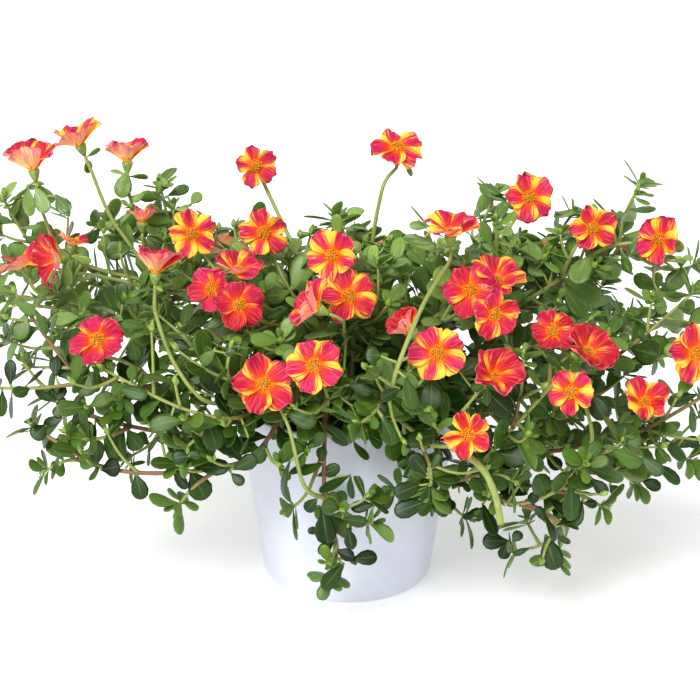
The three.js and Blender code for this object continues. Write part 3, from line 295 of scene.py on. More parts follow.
# Large leaves that show: root across and up, tip across and up, and how broad each looks, mm on the
# layout sheet.
shownLeaves = [
    (-192, 231, -191, 212, 8), (-187, 231, -180, 213, 10), (-183, 238, -178, 223, 6),
    (-195, 238, -198, 226, 5), (-175, 225, -167, 213, 10), (-196, 222, -202, 212, 5),
    (-196, 205, -183, 206, 4), (-195, 200, -181, 195, 5), (-148, 205, -156, 196, 7),
    (-148, 196, -130, 199, 5), (-129, 193, -145, 190, 12), (-164, 192, -151, 192, 7),
    (-168, 184, -168, 170, 8), (-160, 250, -153, 234, 9), (-158, 250, -144, 240, 7),
    (-132, 240, -136, 223, 11), (-146, 214, -154, 218, 5), (-144, 214, -138, 220, 8),
    (-192, 154, -198, 138, 12), (-187, 156, -180, 141, 7), (-200, 162, -187, 153, 7),
    (-201, 158, -207, 148, 5), (-202, 110, -202, 126, 8), (-193, 110, -182, 120, 5),
    (-175, 115, -175, 128, 8), (-201, 108, -202, 90, 4), (-207, 108, -207, 91, 8),
    (-174, 100, -187, 109, 8), (-174, 100, -172, 111, 10), (-154, 124, -165, 106, 7),
    (-156, 121, -156, 103, 14), (-151, 124, -150, 106, 5), (-138, 109, -119, 104, 9),
    (-102, 117, -118, 102, 9), (-94, 107, -104, 94, 7), (-180, 87, -189, 79, 11), (-170, 91, -183, 87, 7),
    (-159, 90, -153, 98, 7), (-166, 87, -158, 94, 7), (-162, 86, -161, 74, 8), (-151, 88, -154, 77, 5),
    (-151, 61, -150, 79, 10), (-171, 73, -178, 54, 4), (-148, 60, -136, 62, 12), (-133, 62, -121, 64, 4),
    (-127, 58, -123, 42, 11), (-138, 86, -135, 67, 8), (-132, 84, -124, 72, 12), (-144, 84, -142, 74, 5),
    (-111, 82, -120, 70, 4), (-106, 92, -103, 72, 9), (-84, 90, -78, 72, 14), (-94, 84, -86, 72, 4),
    (-94, 68, -105, 67, 10), (-97, 70, -88, 68, 5), (-92, 61, -70, 62, 11), (-94, 60, -85, 42, 15),
    (-105, 61, -96, 48, 6), (-69, 60, -54, 67, 10), (-70, 58, -62, 51, 7), (-59, 80, -64, 69, 3),
    (-48, 76, -56, 64, 10), (-34, 66, -41, 44, 6), (-27, 60, -38, 50, 10), (-33, 74, -19, 69, 8),
    (-18, 56, -4, 62, 8), (-16, 64, -15, 74, 7), (2, 57, -17, 45, 9), (-17, 89, 1, 75, 8),
    (-37, 94, -18, 88, 12), (-18, 43, -25, 35, 8), (-15, 37, -12, 15, 14), (-15, 24, -24, 23, 5),
    (-4, 31, 12, 28, 8), (0, 26, 3, 12, 8), (-7, 12, 4, 7, 8), (2, 6, 18, 8, 10), (-2, 4, -15, -12, 10),
    (17, 39, 2, 37, 8), (2, 57, 2, 42, 6), (18, 64, 27, 42, 12), (44, 51, 28, 45, 11), (48, 41, 28, 34, 12),
    (35, 30, 30, 20, 7), (49, 51, 49, 39, 12), (50, 54, 68, 54, 7), (48, 57, 38, 69, 11),
    (48, 55, 37, 60, 7), (50, 60, 56, 70, 6), (52, 42, 60, 32, 8), (21, 93, 27, 76, 11),
    (32, 109, 20, 102, 8), (35, 116, 39, 95, 10), (51, 115, 50, 96, 16), (18, 100, 24, 94, 6),
    (56, 81, 36, 78, 10), (0, 111, 15, 106, 8), (-69, 97, -64, 87, 9), (83, 108, 98, 93, 14),
    (86, 73, 104, 77, 8), (90, 60, 111, 55, 7), (78, 66, 86, 51, 8), (81, 40, 88, 20, 8),
    (78, 34, 69, 31, 5), (92, 45, 101, 39, 7), (97, 17, 81, 17, 11), (96, 17, 93, 6, 8),
    (99, 16, 104, 23, 7), (110, 13, 99, 9, 4), (119, 21, 125, 0, 14), (119, 28, 114, 38, 6),
    (125, 26, 141, 34, 8), (134, 55, 135, 29, 12), (141, 42, 137, 26, 7), (141, 40, 150, 39, 6),
    (114, 48, 110, 40, 7), (125, 21, 134, 16, 4), (146, 55, 156, 45, 8), (157, 51, 163, 45, 7),
    (176, 54, 188, 49, 8), (176, 68, 189, 57, 10), (185, 64, 199, 51, 8), (189, 80, 203, 65, 6),
    (201, 79, 211, 75, 8), (210, 105, 192, 100, 9), (146, 106, 155, 90, 13), (176, 87, 155, 81, 9),
    (206, 99, 207, 82, 5), (-115, 225, -109, 235, 8), (-108, 224, -95, 230, 7), (-94, 219, -88, 226, 7),
    (-121, 226, -129, 221, 5), (-135, 158, -135, 172, 8), (-130, 139, -126, 125, 10), (-6, 198, -6, 214, 8),
    (9, 208, 16, 217, 7), (14, 202, 4, 200, 7), (3, 187, 6, 197, 8), (-33, 142, -54, 144, 10),
    (-51, 150, -36, 156, 7), (21, 128, 11, 129, 11), (1, 112, 7, 127, 6), (96, 220, 80, 231, 10),
    (140, 216, 123, 210, 7), (54, 195, 33, 199, 8), (21, 177, 39, 184, 13), (87, 192, 81, 209, 8),
    (108, 198, 116, 186, 8), (148, 189, 134, 171, 14), (119, 176, 108, 181, 8), (129, 171, 143, 151, 12),
    (67, 118, 80, 124, 12), (21, 91, 29, 75, 12), (54, 84, 36, 75, 11), (176, 202, 170, 189, 8),
    (164, 192, 170, 178, 5), (170, 168, 156, 171, 8), (182, 134, 176, 145, 8), (206, 182, 192, 169, 12),
    (206, 165, 192, 164, 4), (129, 121, 120, 130, 8), (34, 246, 39, 236, 4), (50, 206, 37, 207, 6),
    (66, 154, 74, 144, 7), (107, 84, 95, 76, 8), (128, 82, 119, 90, 8), (119, 69, 128, 60, 9),
    (104, 105, 95, 118, 8), (116, 102, 107, 111, 8), (65, 162, 56, 150, 7), (-28, 132, -39, 127, 8),
    (-21, 135, -10, 130, 8), (-85, 144, -75, 151, 8), (-88, 162, -99, 166, 8), (-112, 144, -102, 148, 8),
    (-118, 162, -109, 168, 7), (-94, 132, -105, 136, 8), (-79, 132, -88, 123, 8), (-64, 135, -74, 130, 8),
    (-73, 162, -64, 156, 7),
]

# The sheet shows the plant from the front and a little above; lines of sight spread from an eye.
sheetTilt = np.radians(20)
eyeDistance = 1500.0
eyeOnSheet = (1.6, 131.7)
sheetUp = np.array([0, np.sin(sheetTilt), np.cos(sheetTilt)])
sheetIn = np.array([0, np.cos(sheetTilt), -np.sin(sheetTilt)])


def unit(vectors):
    # Each vector over its length.
    return vectors / np.maximum(np.linalg.norm(vectors, axis=-1, keepdims=True), 1e-9)


def atDepth(across, up, inward):
    # The place in space of a point on the sheet at a depth behind it.
    spread = 1 + inward / eyeDistance
    right = np.array([eyeOnSheet[0] + (across - eyeOnSheet[0]) * spread, 0, 0])
    return right + sheetUp * (eyeOnSheet[1] + (up - eyeOnSheet[1]) * spread) + sheetIn * inward


def place(mark):
    # The place in space of (across, up, back) on the sheet, back being the distance behind the pot's axis.
    across, up, back = mark
    rise, run = np.sin(sheetTilt), np.cos(sheetTilt)
    return atDepth(across, up, (back - rise * up) / (run + rise * (up - eyeOnSheet[1]) / eyeDistance))


def onSheet(points):
    # The way back: (across, up) on the sheet and the depth behind it.
    inward = points @ sheetIn
    spread = 1 + inward / eyeDistance
    across = eyeOnSheet[0] + (points[..., 0] - eyeOnSheet[0]) / spread
    up = eyeOnSheet[1] + (points @ sheetUp - eyeOnSheet[1]) / spread
    return across, up, inward


def facing(direction):
    # The unit direction of (right, up, out) on the sheet, out being towards the eye.
    right, up, out = direction
    return unit(np.array([right, 0, 0]) + sheetUp * up - sheetIn * out)


def turnTo(axis):
    # The matrix of the least turn that carries +Z to the axis.
    x, y, z = axis
    k = 1 / (1 + z)
    return np.array([[1 - x * x * k, -x * y * k, x], [-x * y * k, 1 - y * y * k, y], [-x, -y, z]])


def drawFrom(seed):
    # A draw from 0 to 1, the same as the solids' own: each state is the last one times a factor plus a step,
    # less whole turns of a 32-bit word.
    factor, step, size = 1664525, 1013904223, 2**32
    state = [seed]

    def draw():
        state[0] = (state[0] * factor + step) % size
        return state[0] / size

    return draw


potForm = dict(height=112, baseRadius=49, rimRadius=65, wall=2.4, floor=3, corner=7, sides=128)
soilForm = dict(top=103, clear=0.3, crumb=1.6, grain=0.8, dip=2.2, dipRadius=3.2)
growth = dict(mainRadius=1.75, shootRadius=1.4, twigRadius=1.1, upright=9, rooted=11.4, step=4.0)
clearing = dict(rounds=60, space=2.8, bloomSpace=4.6, share=0.5, lookEvery=6, stemReach=12, bloomReach=10)
bloomSeatForm = dict(behind=6.1, straight=9)

# What the seeds of each kind of draw start from; the number of the run, bloom or leaf is added.
seeds = dict(solid=100, note=400, whorl=900, grown=1300, twigs=2100, pairs=3100, twigSolid=5000, shown=6100)
seeds.update(petalSolid=7000, petal=50, stamens=250, stalkNote=9000)


def drawsOf(kind, number):
    # The draws of one kind for one run, bloom or leaf.
    return np.random.default_rng(seeds[kind] + number)


def potRadius(height):
    # The wall's outer radius grows evenly from base to rim.
    return potForm["baseRadius"] + (potForm["rimRadius"] - potForm["baseRadius"]) * height / potForm["height"]


def smoothRun(corners, spacing=growth["step"]):
    # Uniform Catmull-Rom spline through the corners, sampled about every spacing along it.
    corners = [np.asarray(corner, float) for corner in corners]
    pieces = []
    for i in range(len(corners) - 1):
        a, b, c = corners[max(i - 1, 0)], corners[i], corners[i + 1]
        d = corners[min(i + 2, len(corners) - 1)]
        parts = max(1, int(np.linalg.norm(c - b) / spacing + 0.5))
        t = np.arange(parts)[:, None] / parts
        start, end = ((2 - t) * t - 1) * t, (t - 1) * t * t
        pieces.append((start * a + ((3 * t - 5) * t * t + 2) * b + ((4 - 3 * t) * t + 1) * t * c + end * d) / 2)
    return np.concatenate([*pieces, corners[-1][None]])


def bloomSeat(number):
    # The heart's place, the way the bloom faces, and the end of its stalk behind it.
    axis = facing(blooms[number]["faces"])
    heart = place(blooms[number]["at"])
    return heart, axis, heart - bloomSeatForm["behind"] * axis


def bearsBloom(run):
    # A stem ends in a bloom's number or in the place of a leafy tip.
    return not isinstance(run["end"], tuple)


def routeOf(plan):
    # The points a stem passes after its start.
    route = [place(mark) for mark in plan["via"]]
    if not bearsBloom(plan):
        return [*route, place(plan["end"])]
    _, axis, seat = bloomSeat(plan["end"])
    return [*route, seat - bloomSeatForm["straight"] * axis, seat]


def sideRun(main, joint, points, radius, rank, end=(0, 0, 0), cut=False):
    # What grows from a joint of another run: a shoot of rank 1, or a twig or leaf stalk of rank 2.
    run = dict(node=main["node"], main=main, joint=joint, points=points, radius=radius, held=1)
    run.update(rank=rank, end=end, cut=cut)
    return run


def growStems():
    # All stems and shoots as sampled runs. A shoot starts on a sample of its stem.
    runs = []
    for node, plan in enumerate(stems):
        x, y = plan["hole"]
        foot = np.array([x, y, soilForm["top"] - growth["rooted"]])
        mouth = np.array([x, y, soilForm["top"] + growth["upright"]])
        upright = smoothRun([foot, mouth])[:-1]
        points = np.concatenate([upright, smoothRun([mouth, *routeOf(plan)])])
        main = dict(node=node, radius=growth["mainRadius"], held=len(upright) + 1, end=plan["end"])
        main.update(points=points, main=None, cut=False, rank=0)
        runs.append(main)
        for shoot in plan["shoots"]:
            joint = int(shoot["start"] * (len(points) - 1) + 0.5)
            path = smoothRun([points[joint], *routeOf(shoot)])
            runs.append(sideRun(main, joint, path, growth["shootRadius"], 1, shoot["end"], "cut" in shoot))
    return runs


petalRings = ((0.5, 5), (0.92, 10))
marksPerBloom = 1 + sum(count for _, count in petalRings)


def petalMarks(number):
    # Points spread over a bloom's petals: its heart, and rings of points at shares of their length.
    bloom = blooms[number]
    heart, axis, _ = bloomSeat(number)
    lift = np.radians(bloom["raised"])
    marks = [np.zeros((1, 3))]
    for share, count in petalRings:
        angle = 2 * np.pi * np.arange(count) / count
        flat, rise = np.cos(lift), angle * 0 + np.sin(lift)
        ring = np.stack([flat * np.cos(angle), flat * np.sin(angle), rise], axis=1)
        marks.append(ring * bloom["petal"] * share)
    return np.concatenate(marks) @ turnTo(axis).T + heart


def nearPairs(points, others, allowed, reach):
    # Indices of the allowed pairs of points that are nearer than reach.
    apart = np.linalg.norm(points[:, None] - others[None], axis=2)
    return np.nonzero((apart < reach) & allowed)


def bendClear(runs):
    # In each round, samples of different stems that are too near push one another apart, petals push all
    # samples but the last five of their own stalk, and the pushes are smoothed along each run.
    sizes = [len(run["points"]) for run in runs]
    starts = np.concatenate([[0], np.cumsum(sizes)])
    node = np.repeat([run["node"] for run in runs], sizes)
    radius = np.repeat([run["radius"] for run in runs], sizes)
    marks = np.concatenate([petalMarks(number) for number in blooms])
    markOf = np.repeat(list(blooms), marksPerBloom)
    touches = np.ones((starts[-1], len(marks)), bool)
    for run, start, size in zip(runs, starts, sizes):
        if bearsBloom(run):
            touches[start + size - 5 : start + size, markOf == run["end"]] = False
    others = np.triu(node[:, None] != node[None])
    for turn in range(clearing["rounds"]):
        points = np.concatenate([run["points"] for run in runs])
        if turn % clearing["lookEvery"] == 0:
            one, two = nearPairs(points, points, others, clearing["stemReach"])
            sample, mark = nearPairs(points, marks, touches, clearing["bloomReach"])
        pushes = np.zeros_like(points)
        away = points[one] - points[two]
        short = radius[one] + radius[two] + clearing["space"] - np.linalg.norm(away, axis=1)
        away = unit(away) * np.maximum(short, 0)[:, None] * clearing["share"]
        np.add.at(pushes, one, away)
        np.add.at(pushes, two, -away)
        away = points[sample] - marks[mark]
        short = clearing["bloomSpace"] - np.linalg.norm(away, axis=1)
        np.add.at(pushes, sample, unit(away) * np.maximum(short, 0)[:, None] * clearing["share"])
        for run, start, size in zip(runs, starts, sizes):
            moveRun(run, pushes[start : start + size])


def moveRun(run, push):
    # What stands in the soil or meets a bloom stays, and a shoot's start rides on its stem.
    points = run["points"]
    last = len(points) - 1
    free = last - (3 if bearsBloom(run) else 0)
    padded = np.concatenate([push[:1], push, push[-1:]])
    smoothed = padded[1:-1] * 0.5 + (padded[:-2] + padded[2:]) * 0.25
    points[run["held"] : free + 1] += smoothed[run["held"] : free + 1]
    if run["main"]:
        ride = run["main"]["points"][run["joint"]] - points[0]
        eased = 4
        for i in range(min(eased, free)):
            points[i] += ride * (1 - i / eased)


runs = growStems()
bendClear(runs)
print("stems grown:", len(runs))


def loft(rings, start, end):
    # Closed skins in a batch. rings is (count, rows, around, 3): each row joins the next all the way round,
    # and the first and last rows close on the points start and end.
    count, rows, around = rings.shape[:3]
    points = np.concatenate([rings.reshape(count, rows * around, 3), start[:, None], end[:, None]], axis=1)
    low = (np.arange(rows - 1)[:, None] * around + np.arange(around)).ravel()
    lowNext = (np.arange(rows - 1)[:, None] * around + (np.arange(around) + 1) % around).ravel()
    quads = np.stack([low, lowNext, lowNext + around, low + around], axis=1)
    ring, ringNext = np.arange(around), (np.arange(around) + 1) % around
    foot, top = rows * around, (rows - 1) * around
    tris = np.concatenate(
        [
            np.stack([ring * 0 + foot, ringNext, ring], axis=1),
            np.stack([ring * 0 + foot + 1, ring + top, ringNext + top], axis=1),
        ]
    )
    shift = np.arange(count)[:, None, None] * (foot + 2)
    return points.reshape(-1, 3), (quads + shift).reshape(-1, 4), (tris + shift).reshape(-1, 3)


def skin(rings, start, end, blade, mark, finish):
    # A lofted batch with its own coordinates: blade (along, across, face) and mark, given per row and corner.
    points, quads, tris = loft(rings, start, end)
    count, rows, around = rings.shape[:3]
    blade = np.broadcast_to(blade, (count, rows, around, 3)).reshape(count, rows * around, 3)
    first, last = blade[:, :around].mean(axis=1), blade[:, -around:].mean(axis=1)
    last[:, 0] = 1
    blade = np.concatenate([blade, first[:, None], last[:, None]], axis=1).reshape(-1, 3)
    mark = np.asarray(mark, float).reshape(-1, 1, 3)
    mark = np.broadcast_to(mark, (count, rows * around + 2, 3)).reshape(-1, 3)
    return dict(points=points, quads=quads, tris=tris, blade=blade, mark=mark, finish=finish)


def addPiece(name, parts, finishes, body="root"):
    # One mesh object of all the parts, with a material per finish and its coordinates as attributes.
    sizes = [len(part["points"]) for part in parts]
    shifts = np.concatenate([[0], np.cumsum(sizes)])
    points = np.concatenate([part["points"] for part in parts])
    quads = np.concatenate([part["quads"] + shift for part, shift in zip(parts, shifts)])
    tris = np.concatenate([part["tris"] + shift for part, shift in zip(parts, shifts)])
    loops = np.concatenate([quads.ravel(), tris.ravel()])
    starts = np.concatenate([np.arange(len(quads)) * 4, len(quads) * 4 + np.arange(len(tris)) * 3])
    slots = [finishes.index(part["finish"]) for part in parts]
    slotOf = [np.repeat(slots, [len(part[kind]) for part in parts]) for kind in ("quads", "tris")]
    mesh = bpy.data.meshes.new(name)
    mesh.vertices.add(len(points))
    mesh.vertices.foreach_set("co", (points * 0.001).astype(np.float32).ravel())
    mesh.loops.add(len(loops))
    mesh.loops.foreach_set("vertex_index", loops.astype(np.int32))
    mesh.polygons.add(len(starts))
    mesh.polygons.foreach_set("loop_start", starts.astype(np.int32))
    mesh.polygons.foreach_set("material_index", np.concatenate(slotOf).astype(np.int32))
    mesh.polygons.foreach_set("use_smooth", np.ones(len(starts), bool))
    mesh.update(calc_edges=True)
    for label in ("blade", "mark"):
        values = np.concatenate([part[label] for part in parts]).astype(np.float32)
        mesh.attributes.new(label, "FLOAT_VECTOR", "POINT").data.foreach_set("vector", values.ravel())
    for finish in finishes:
        mesh.materials.append(finish)
    piece = bpy.data.objects.new(name, mesh)
    bpy.context.scene.collection.objects.link(piece)
    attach(piece, body)
    return piece


def framesAlong(points):
    # Tangents, and a side carried along the run so that the tube doesn't twist, with its square to both.
    tangents = unit(np.gradient(points, axis=0))
    side = unit(np.cross(tangents[0], [0.31, 0.23, 0.92]))
    sides = []
    for tangent in tangents:
        side = unit(side - tangent * side.dot(tangent))
        sides.append(side)
    sides = np.array(sides)
    return tangents, sides, np.cross(tangents, sides)


def resample(points, spacing):
    # The run smoothed by its neighbours and taken again at even steps along its length.
    soft = points.copy()
    soft[1:-1] = points[1:-1] * 0.5 + (points[:-2] + points[2:]) * 0.25
    length = np.concatenate([[0], np.cumsum(np.linalg.norm(np.diff(soft, axis=0), axis=1))])
    steps = np.linspace(0, length[-1], max(4, int(length[-1] / spacing)))
    return np.stack([np.interp(steps, length, soft[:, k]) for k in range(3)], axis=1), steps


tubeForm = dict(spacing=2.6, around=8, twigAround=6, thin=0.24, slim=0.16, slimOver=30, cut=1.32)
tubeForm.update(node=0.12, nodeLength=1.5, nodeSpacing=10.5, nodeShift=3)


def tubePart(run, finish):
    # A round tube along the run: its radius thins quickly over the first part, then evenly to the tip, and
    # swells a little at each leaf joint. A run that was cut is thicker and keeps its thickness to a blunt end.
    points, steps = resample(run["points"], tubeForm["spacing"])
    tangents, sides, ups = framesAlong(points)
    share = steps / steps[-1]
    joint = (steps + tubeForm["nodeShift"]) % tubeForm["nodeSpacing"] - tubeForm["nodeSpacing"] / 2
    swell = 1 + tubeForm["node"] * np.exp(-((joint / tubeForm["nodeLength"]) ** 2))
    slim = tubeForm["slim"] * np.clip(steps / tubeForm["slimOver"], 0, 1)
    radius = run["radius"] * (tubeForm["cut"] if run["cut"] else 1 - slim - tubeForm["thin"] * share) * swell
    around = tubeForm["around"] if run["rank"] < 2 else tubeForm["twigAround"]
    angle = 2 * np.pi * np.arange(around) / around
    ring = np.cos(angle)[:, None] * sides[:, None] + np.sin(angle)[:, None] * ups[:, None]
    rings = points[:, None] + ring * radius[:, None, None]
    start = points[0] - tangents[0] * 0.2
    end = points[-1] + tangents[-1] * (0.05 if run["cut"] else 0.4)
    blade = np.zeros((len(points), around, 3))
    blade[..., 0] = share[:, None]
    blade[..., 1] = np.cos(angle)
    mark = (run["chance"], run["old"], 1.0 if run["cut"] else 0.0)
    return skin(rings[None], start[None], end[None], blade[None], mark, finish)


leafForm = dict(
    rows=(0.0, 0.2, 0.42, 0.67, 0.87, 0.97),
    halfWidth=(0.1, 0.38, 0.83, 1.0, 0.79, 0.4),
    around=8,
    thickness=1.0,
    usual=20,
    samples=((0.3, 0), (0.6, -0.8), (0.6, 0.8), (0.62, 0), (0.9, -0.45), (0.9, 0.45)),
    apart=2.3,
)
budForm = dict(rows=(0.0, 0.14, 0.34, 0.56, 0.76, 0.9), girth=(0.5, 0.86, 1.0, 0.86, 0.52, 0.22))
budForm.update(around=8, keel=0.12)

# The middle of the mound and how far it spreads, and the painted shade that darkens leaves towards it and below
# the foliage's top line.
moundCore = np.array([0, 0, 60.0])
moundSpread = np.array([190.0, 130.0, 130.0])
shade = dict(under=15, over=90, most=0.9, within=0.75, fades=0.5, inner=0.7)


def facts(things, *labels):
    # One array for each label, over all the leaves or buds.
    return [np.array([thing[label] for thing in things]) for label in labels]


def ringsAt(root, *steps):
    # The root of each thing in a batch plus its rings' distances along each of its directions.
    rings = root[:, None, None]
    for direction, distance in steps:
        rings = rings + direction[:, None, None] * distance[..., None]
    return rings


def paintedShadeDepth(root):
    # How deep in the plant a leaf sits, which sets how much painted shade darkens it: by its distance under the
    # foliage's top line on the sheet, and by its nearness to the middle of the mound.
    across, up, _ = onSheet(root)
    below = np.interp(across, *np.array(foliageTop, float).T) - up - shade["under"]
    inner = np.linalg.norm((root - moundCore) / moundSpread, axis=1)
    inner = np.clip((shade["within"] - inner) / shade["fades"], 0, 1) * shade["inner"]
    return np.clip(np.clip(below / shade["over"], 0, 1) * shade["most"] + inner, 0, 1)


def leafPart(leaves, finish):
    # Thin closed blades in a batch. Across a blade the ring runs as a flat ellipse; the rim widens and narrows
    # by the rows' half widths, the two halves fold up from the midrib, and the blade bends along its length.
    root, axis, normal, chance, age = facts(leaves, "root", "axis", "normal", "chance", "age")
    sizes = facts(leaves, "length", "width", "bend", "fold")
    length, width, bend, fold = (size[:, None, None] for size in sizes)
    side = np.cross(normal, axis)
    angle = 2 * np.pi * np.arange(leafForm["around"]) / leafForm["around"]
    along = np.array(leafForm["rows"])[:, None]
    half = np.array(leafForm["halfWidth"])[:, None]
    across, over = np.cos(angle), np.sin(angle)
    thick = leafForm["thickness"] / 2 * over * np.sqrt(half) * (0.6 + 0.4 * (length / leafForm["usual"]))
    folded = fold * length * width * half * np.abs(across) * (1 - 0.5 * along)
    height = folded + bend * length * along**2 + thick
    spread = length * width / 2 * half * across
    rings = ringsAt(root, (axis, length * along), (side, spread), (normal, height))
    tip = root + axis * length[:, 0] + normal * (bend * length)[:, 0]
    foot = root - axis * 0.3
    blade = np.zeros((len(leaves), len(along), len(angle), 3))
    blade[..., 0], blade[..., 1], blade[..., 2] = along, across, over
    # The mark's third part is how deep the leaf sits, which sets its painted shade.
    mark = np.stack([chance, age, paintedShadeDepth(root)], axis=1)
    return skin(rings, foot, tip, blade, mark, finish)


def budPart(buds, finish):
    # Pointed buds: rings about the bud's axis whose girth swells below the middle and closes to a point.
    root, axis = facts(buds, "root", "axis")
    length, girth = (part[:, None, None] for part in facts(buds, "length", "girth"))
    side = unit(np.cross(axis, [0.37, 0.51, 0.77]))
    up = np.cross(axis, side)
    angle = 2 * np.pi * np.arange(budForm["around"]) / budForm["around"]
    along = np.array(budForm["rows"])[:, None]
    radius = girth * np.array(budForm["girth"])[:, None] * (1 + budForm["keel"] * np.cos(2 * angle))
    rings = ringsAt(root, (axis, length * along), (side, radius * np.cos(angle)), (up, radius * np.sin(angle)))
    blade = np.zeros((len(buds), len(along), len(angle), 3))
    blade[..., 0] = along
    mark = np.outer(facts(buds, "chance")[0], [1, 0, 0])
    return skin(rings, root - axis * 0.3, root + axis * length[:, 0], blade, mark, finish)


# Single leaves and stamens follow one another round by the golden angle.
goldenTurn = np.radians(137.5)

# The room that the plant may fill: the solids' box, 3% of each side and 7 mm more, and clear of the ground.
low, high = (np.array(corner) * 1000 for corner in solidBox)
spare = 0.03 * (high - low) + 7
roomLow = np.maximum(low - spare, [-np.inf, -np.inf, 2.0])
roomHigh = high + spare

# Each bloom's heart, and where it is seen on the sheet; the blooms at the back aren't seen.
hearts = {number: bloomSeat(number) for number in blooms}
heartAt = np.array([hearts[number][0] for number in blooms])
heartAxis = np.array([hearts[number][1] for number in blooms])
reach = np.array([blooms[number]["petal"] for number in blooms], float)
raised = np.radians([blooms[number]["raised"] for number in blooms])
seenAcross, seenUp, seenIn = onSheet(heartAt + heartAxis * (0.5 * reach * np.sin(raised))[:, None])
seenFrom = np.array([blooms[number]["at"][2] < 100 for number in blooms])
tubeMarks = np.concatenate([run["points"] for run in runs])
tubeOwner = np.repeat(np.arange(len(runs)), [len(run["points"]) for run in runs])

# How much of the stalks that show carries no leaves, back from each bloom.
bareStalks = {2: 66.0, 6: 95.0, 9: 58.0, 17: 80.0, 19: 56.0, 20: 100.0, 27: 40.0}
usualBare = dict(most=52.0, share=0.5)


def bareLength(run, whole):
    # How much of any flower's stalk, out of its whole length, carries no leaves.
    return bareStalks.get(run["end"], min(usualBare["most"], whole * usualBare["share"]))


bareRuns = [run for run in runs if run["end"] in bareStalks]
bareMarks = [run["points"][-int(bareStalks[run["end"]] / growth["step"]) :] for run in bareRuns]
bareAcross, bareUp, bareIn = onSheet(np.concatenate(bareMarks))

# The leaves settled so far, by their centres and samples, and the large leaves that show, as seen.
mostLeaves = 9000
settled = dict(centres=np.zeros((mostLeaves, 3)), samples=np.zeros((mostLeaves, len(leafForm["samples"]), 3)))
settled.update(count=0, shown=np.zeros((3, 0)))

# How clear of other things a leaf stays: round a bloom and before it, over a bloom, a bare stalk or a large
# leaf as seen from the front, beside the pot's wall, and from another stem.
clear = dict(bloom=2.5, beforeBloom=30, overBloom=0.86, overStalk=4.2, overLeaf=2.6)
clear.update(wall=2.8, rim=1.5, stem=3.0)


def clearOfBlooms(points):
    # False where a point lies within a bloom's cup or in the space before it, or hides it from the front.
    rel = points[:, None] - heartAt[None]
    ahead = (rel * heartAxis).sum(axis=2)
    off = np.linalg.norm(rel - ahead[..., None] * heartAxis, axis=2)
    inCup = (ahead > off * np.tan(raised) - clear["bloom"]) & (ahead < clear["beforeBloom"])
    inCup &= (off < reach * np.cos(raised) + clear["bloom"]) & (ahead > -clear["bloom"])
    across, up, inward = onSheet(points)
    seen = np.hypot(across[:, None] - seenAcross, up[:, None] - seenUp)
    hides = (seen < clear["overBloom"] * reach + 0.5) & (inward[:, None] < seenIn + 1) & seenFrom
    before = np.hypot(across[:, None] - bareAcross, up[:, None] - bareUp) < clear["overStalk"]
    before &= inward[:, None] < bareIn + 0.5
    return not ((inCup | hides).any() or before.any())


def clearOfPot(points):
    # False where a point lies in the pot's wall, in the soil or outside the room the plant may fill.
    off = np.hypot(points[:, 0], points[:, 1])
    fromWall = off - potRadius(points[:, 2])
    wall = np.abs(fromWall + potForm["wall"] / 2) < clear["wall"]
    wall &= points[:, 2] < potForm["height"] + clear["rim"]
    buried = (points[:, 2] < soilForm["top"] + 1) & (fromWall < clear["rim"])
    return not (wall | buried | (points < roomLow).any(axis=1) | (points > roomHigh).any(axis=1)).any()


def inOutline(points):
    # True where all points lie between the foliage's top and bottom lines on the sheet.
    across, up, _ = onSheet(points)
    top = np.interp(across, *np.array(foliageTop, float).T)
    bottom = np.interp(across, *np.array(foliageBottom, float).T)
    return bool(((up < top + 1) & (up > bottom - 1)).all())


def clearOfLeaves(samples, apart):
    # True where no settled leaf's samples come nearer than apart.
    count = settled["count"]
    centre = samples.mean(axis=0)
    close = np.linalg.norm(settled["centres"][:count] - centre, axis=1) < 24
    others = settled["samples"][:count][close].reshape(-1, 3)
    return not len(others) or np.linalg.norm(others[:, None] - samples, axis=2).min() > apart


def clearOfTubes(samples, own, apart=clear["stem"]):
    # True where no other stem's samples come nearer than apart.
    others = tubeMarks[tubeOwner != own]
    near = others[np.abs(others - samples.mean(axis=0)).max(axis=1) < 20]
    return not len(near) or np.linalg.norm(near[:, None] - samples, axis=2).min() > apart


def samplesOf(leaf):
    # Points spread over a leaf's blade.
    along, across = np.array(leafForm["samples"]).T[:, :, None]
    side = np.cross(leaf["normal"], leaf["axis"])
    points = leaf["root"] + leaf["axis"] * along * leaf["length"]
    points = points + leaf["normal"] * leaf["bend"] * leaf["length"] * along**2
    return points + side * across * leaf["width"] / 2 * leaf["length"]


def clearOfShown(samples):
    # False where a point hides one of the large leaves that show.
    across, up, inward = onSheet(samples)
    shown = settled["shown"]
    near = np.hypot(across[:, None] - shown[0], up[:, None] - shown[1]) < clear["overLeaf"]
    return not (near & (inward[:, None] < shown[2] + 0.5)).any()


def settle(leaf, own, outlined=True, apart=leafForm["apart"], beside=clear["stem"]):
    # Keeps a leaf if it is clear of the blooms, the pot, other stems and leaves, and, where outlined is true,
    # within the outline and off the large leaves that show.
    samples = samplesOf(leaf)
    if not (clearOfPot(samples) and clearOfBlooms(samples)):
        return False
    if outlined and not (inOutline(samples) and clearOfShown(samples)):
        return False
    if not clearOfTubes(samples, own, beside) or not clearOfLeaves(samples, apart):
        return False
    settled["centres"][settled["count"]] = samples.mean(axis=0)
    settled["samples"][settled["count"]] = samples
    settled["count"] += 1
    return True


def lengthOf(run):
    # A run's length by the even steps between its samples.
    return (len(run["points"]) - 1) * growth["step"]


def sampleAt(along):
    # The number of the sample nearest to a length along a run.
    return int(along / growth["step"] + 0.5)


def outwardAt(point, tangent):
    # Away from the middle of the mound, square to the stem.
    out = unit(point - moundCore)
    return unit(out - tangent * out.dot(tangent))


def tangentAt(points, i):
    # From the sample before to the sample after.
    return unit(points[min(i + 1, len(points) - 1)] - points[max(i - 1, 0)])


